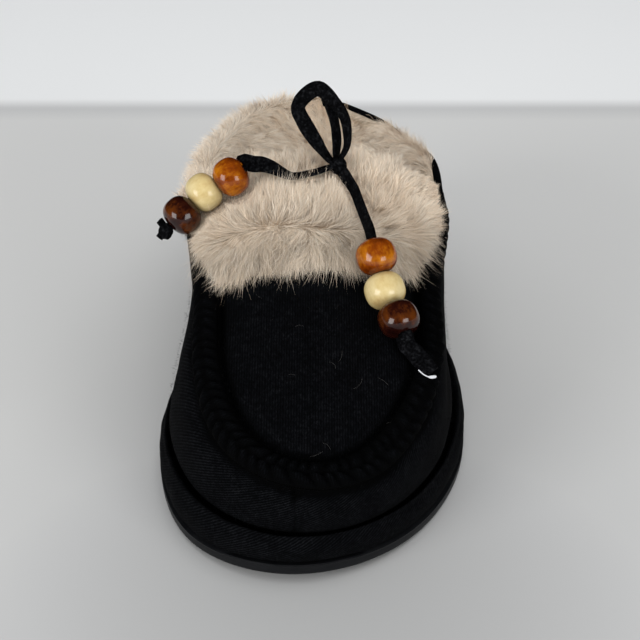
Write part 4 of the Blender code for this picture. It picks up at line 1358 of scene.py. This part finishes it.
# Each soft light: name, place, side of its square, power, and whether it shows in gloss.
LIGHTS = (
    ("left window", (-1.12, -1.08, 0.40), 0.85, 16, True),
    ("right window", (0.93, -1.28, 0.32), 0.78, 12, True),
    ("overhead", (0.35, -0.35, 2.1), 2.2, 15, False),
    ("front fill", (0.0, -1.30, 1.0), 1.0, 4, False),
)
LIT = Vector((0, 0, 0.04))               # what the lights look at
SKY = ((0.95, 0.97, 1.0, 1), 0.51)       # its colour and its strength
CAMERA = Vector((0.0013, -0.4727, 0.2712))
SEEN = Vector((0.0013, -0.0163, 0.0285))  # what the camera looks at
LENS = 84.375                            # its focal length in millimetres


def floor_finish():
    """A plain pale floor with painted shade, softly darker near the shoe and towards the front, that turns
    into a pale wall far behind.
    """
    floor = Finish("studio floor", (0.61, 0.605, 0.59), 0.8)
    split = floor.add("SeparateXYZ", Vector=floor.add("TexCoord").outputs["Object"])
    x, y = split.outputs["X"], split.outputs["Y"]
    # Painted shade: the floor is darker towards the front.
    way = floor.math("ADD", floor.math("MULTIPLY", y, 1.25), 0.5)
    way = floor.math("MAXIMUM", way, 0.28)
    # Painted shadow: soft pools darken the floor near the shoe.
    for place, size, depth in SHADOW_POOLS:
        across = floor.math("MULTIPLY", floor.math("SUBTRACT", x, place[0]), 1 / size[0])
        along = floor.math("MULTIPLY", floor.math("SUBTRACT", y, place[1]), 1 / size[1])
        square = floor.weigh((across, across), (along, along))
        shadow_pool = floor.math("MAXIMUM", floor.math("SUBTRACT", 1.0, square), 0.0)
        way = floor.math("SUBTRACT", way, floor.math("MULTIPLY", shadow_pool, depth))
    floor.colour(floor.ramp(way, *FLOOR_COLOURS))
    return floor.material


def place_in_scene(obj, place, aim=None):
    """Links an object at its place, looking at its aim, if it has one."""
    obj.location = place
    if aim is not None:
        obj.rotation_euler = (aim - obj.location).to_track_quat("-Z", "Y").to_euler()
    bpy.context.scene.collection.objects.link(obj)
    return obj


def make_stage():
    """The floor, the soft lights and a plain sky."""
    plane = new_mesh("floor", FLOOR_CORNERS, [(0, 1, 2, 3)])
    plane.materials.append(floor_finish())
    place_in_scene(bpy.data.objects.new("floor", plane), (0, 0, FLOOR))
    for name, place, size, power, glossy in LIGHTS:
        light = bpy.data.lights.new(name, "AREA")
        light.shape = "RECTANGLE"
        light.size = light.size_y = size
        light.energy = power
        box = place_in_scene(bpy.data.objects.new(name, light), place, LIT)
        box.visible_glossy = glossy
    world = bpy.data.worlds.new("studio")
    world.use_nodes = True
    sky = world.node_tree.nodes["Background"].inputs
    sky["Color"].default_value, sky["Strength"].default_value = SKY
    world.cycles_visibility.glossy = False
    bpy.context.scene.world = world


def make_camera():
    """The camera at the photograph's angle."""
    lens = bpy.data.cameras.new("camera")
    lens.lens = LENS
    lens.sensor_width = 36
    bpy.context.scene.camera = place_in_scene(bpy.data.objects.new("camera", lens), CAMERA, SEEN)
    bpy.context.scene.view_settings.view_transform = "Standard"


def main():
    """Makes every piece, then the stage."""
    noise.seed_set(NOISE_SEED)
    felt = felt_finish("knitted felt", "X", 0.18)
    ribbed = felt_finish("ribbed felt", "DIAGONAL", 0.34)
    woods = {colour: wood_finish(colour) for colour in WOODS}
    hair = fur_finish()
    make_outsole(rubber_finish())
    make_platform(ribbed)
    make_upper([ribbed, felt])
    tree = plain_surface()
    make_seam(tree, felt)
    # Painted shade: the underfur is a darker brown than the hairs, for the shade deep in the coat.
    pelt = pile_finish("underfur", (0.42, 0.33, 0.24), 500, 0.7,
                       ((0.3, (0.34, 0.26, 0.18)), (0.7, (0.62, 0.52, 0.40))), 0.8)
    cover_cuff(hair, pelt)
    cover_lining(hair, pelt)
    make_toe_lining(pelt)
    fleece = pile_finish("footbed fleece", (0.72, 0.62, 0.50), 700, 0.65,
                         ((0.3, (0.52, 0.43, 0.32)), (0.65, (0.80, 0.71, 0.58))), 0.9, sheen=0.2)
    make_footbed(fleece, hair)
    make_fuzz(Finish("felt fuzz", (0.0050, 0.0052, 0.0060), 0.95, Specular_IOR_Level=MATT).material)
    make_lint(tree, Finish("pale lint", (0.085, 0.080, 0.075), 0.8).material)
    make_lace(suede_finish(), woods, Finish("white thread", (0.60, 0.61, 0.63), 0.6).material)
    make_stage()
    make_camera()


main()
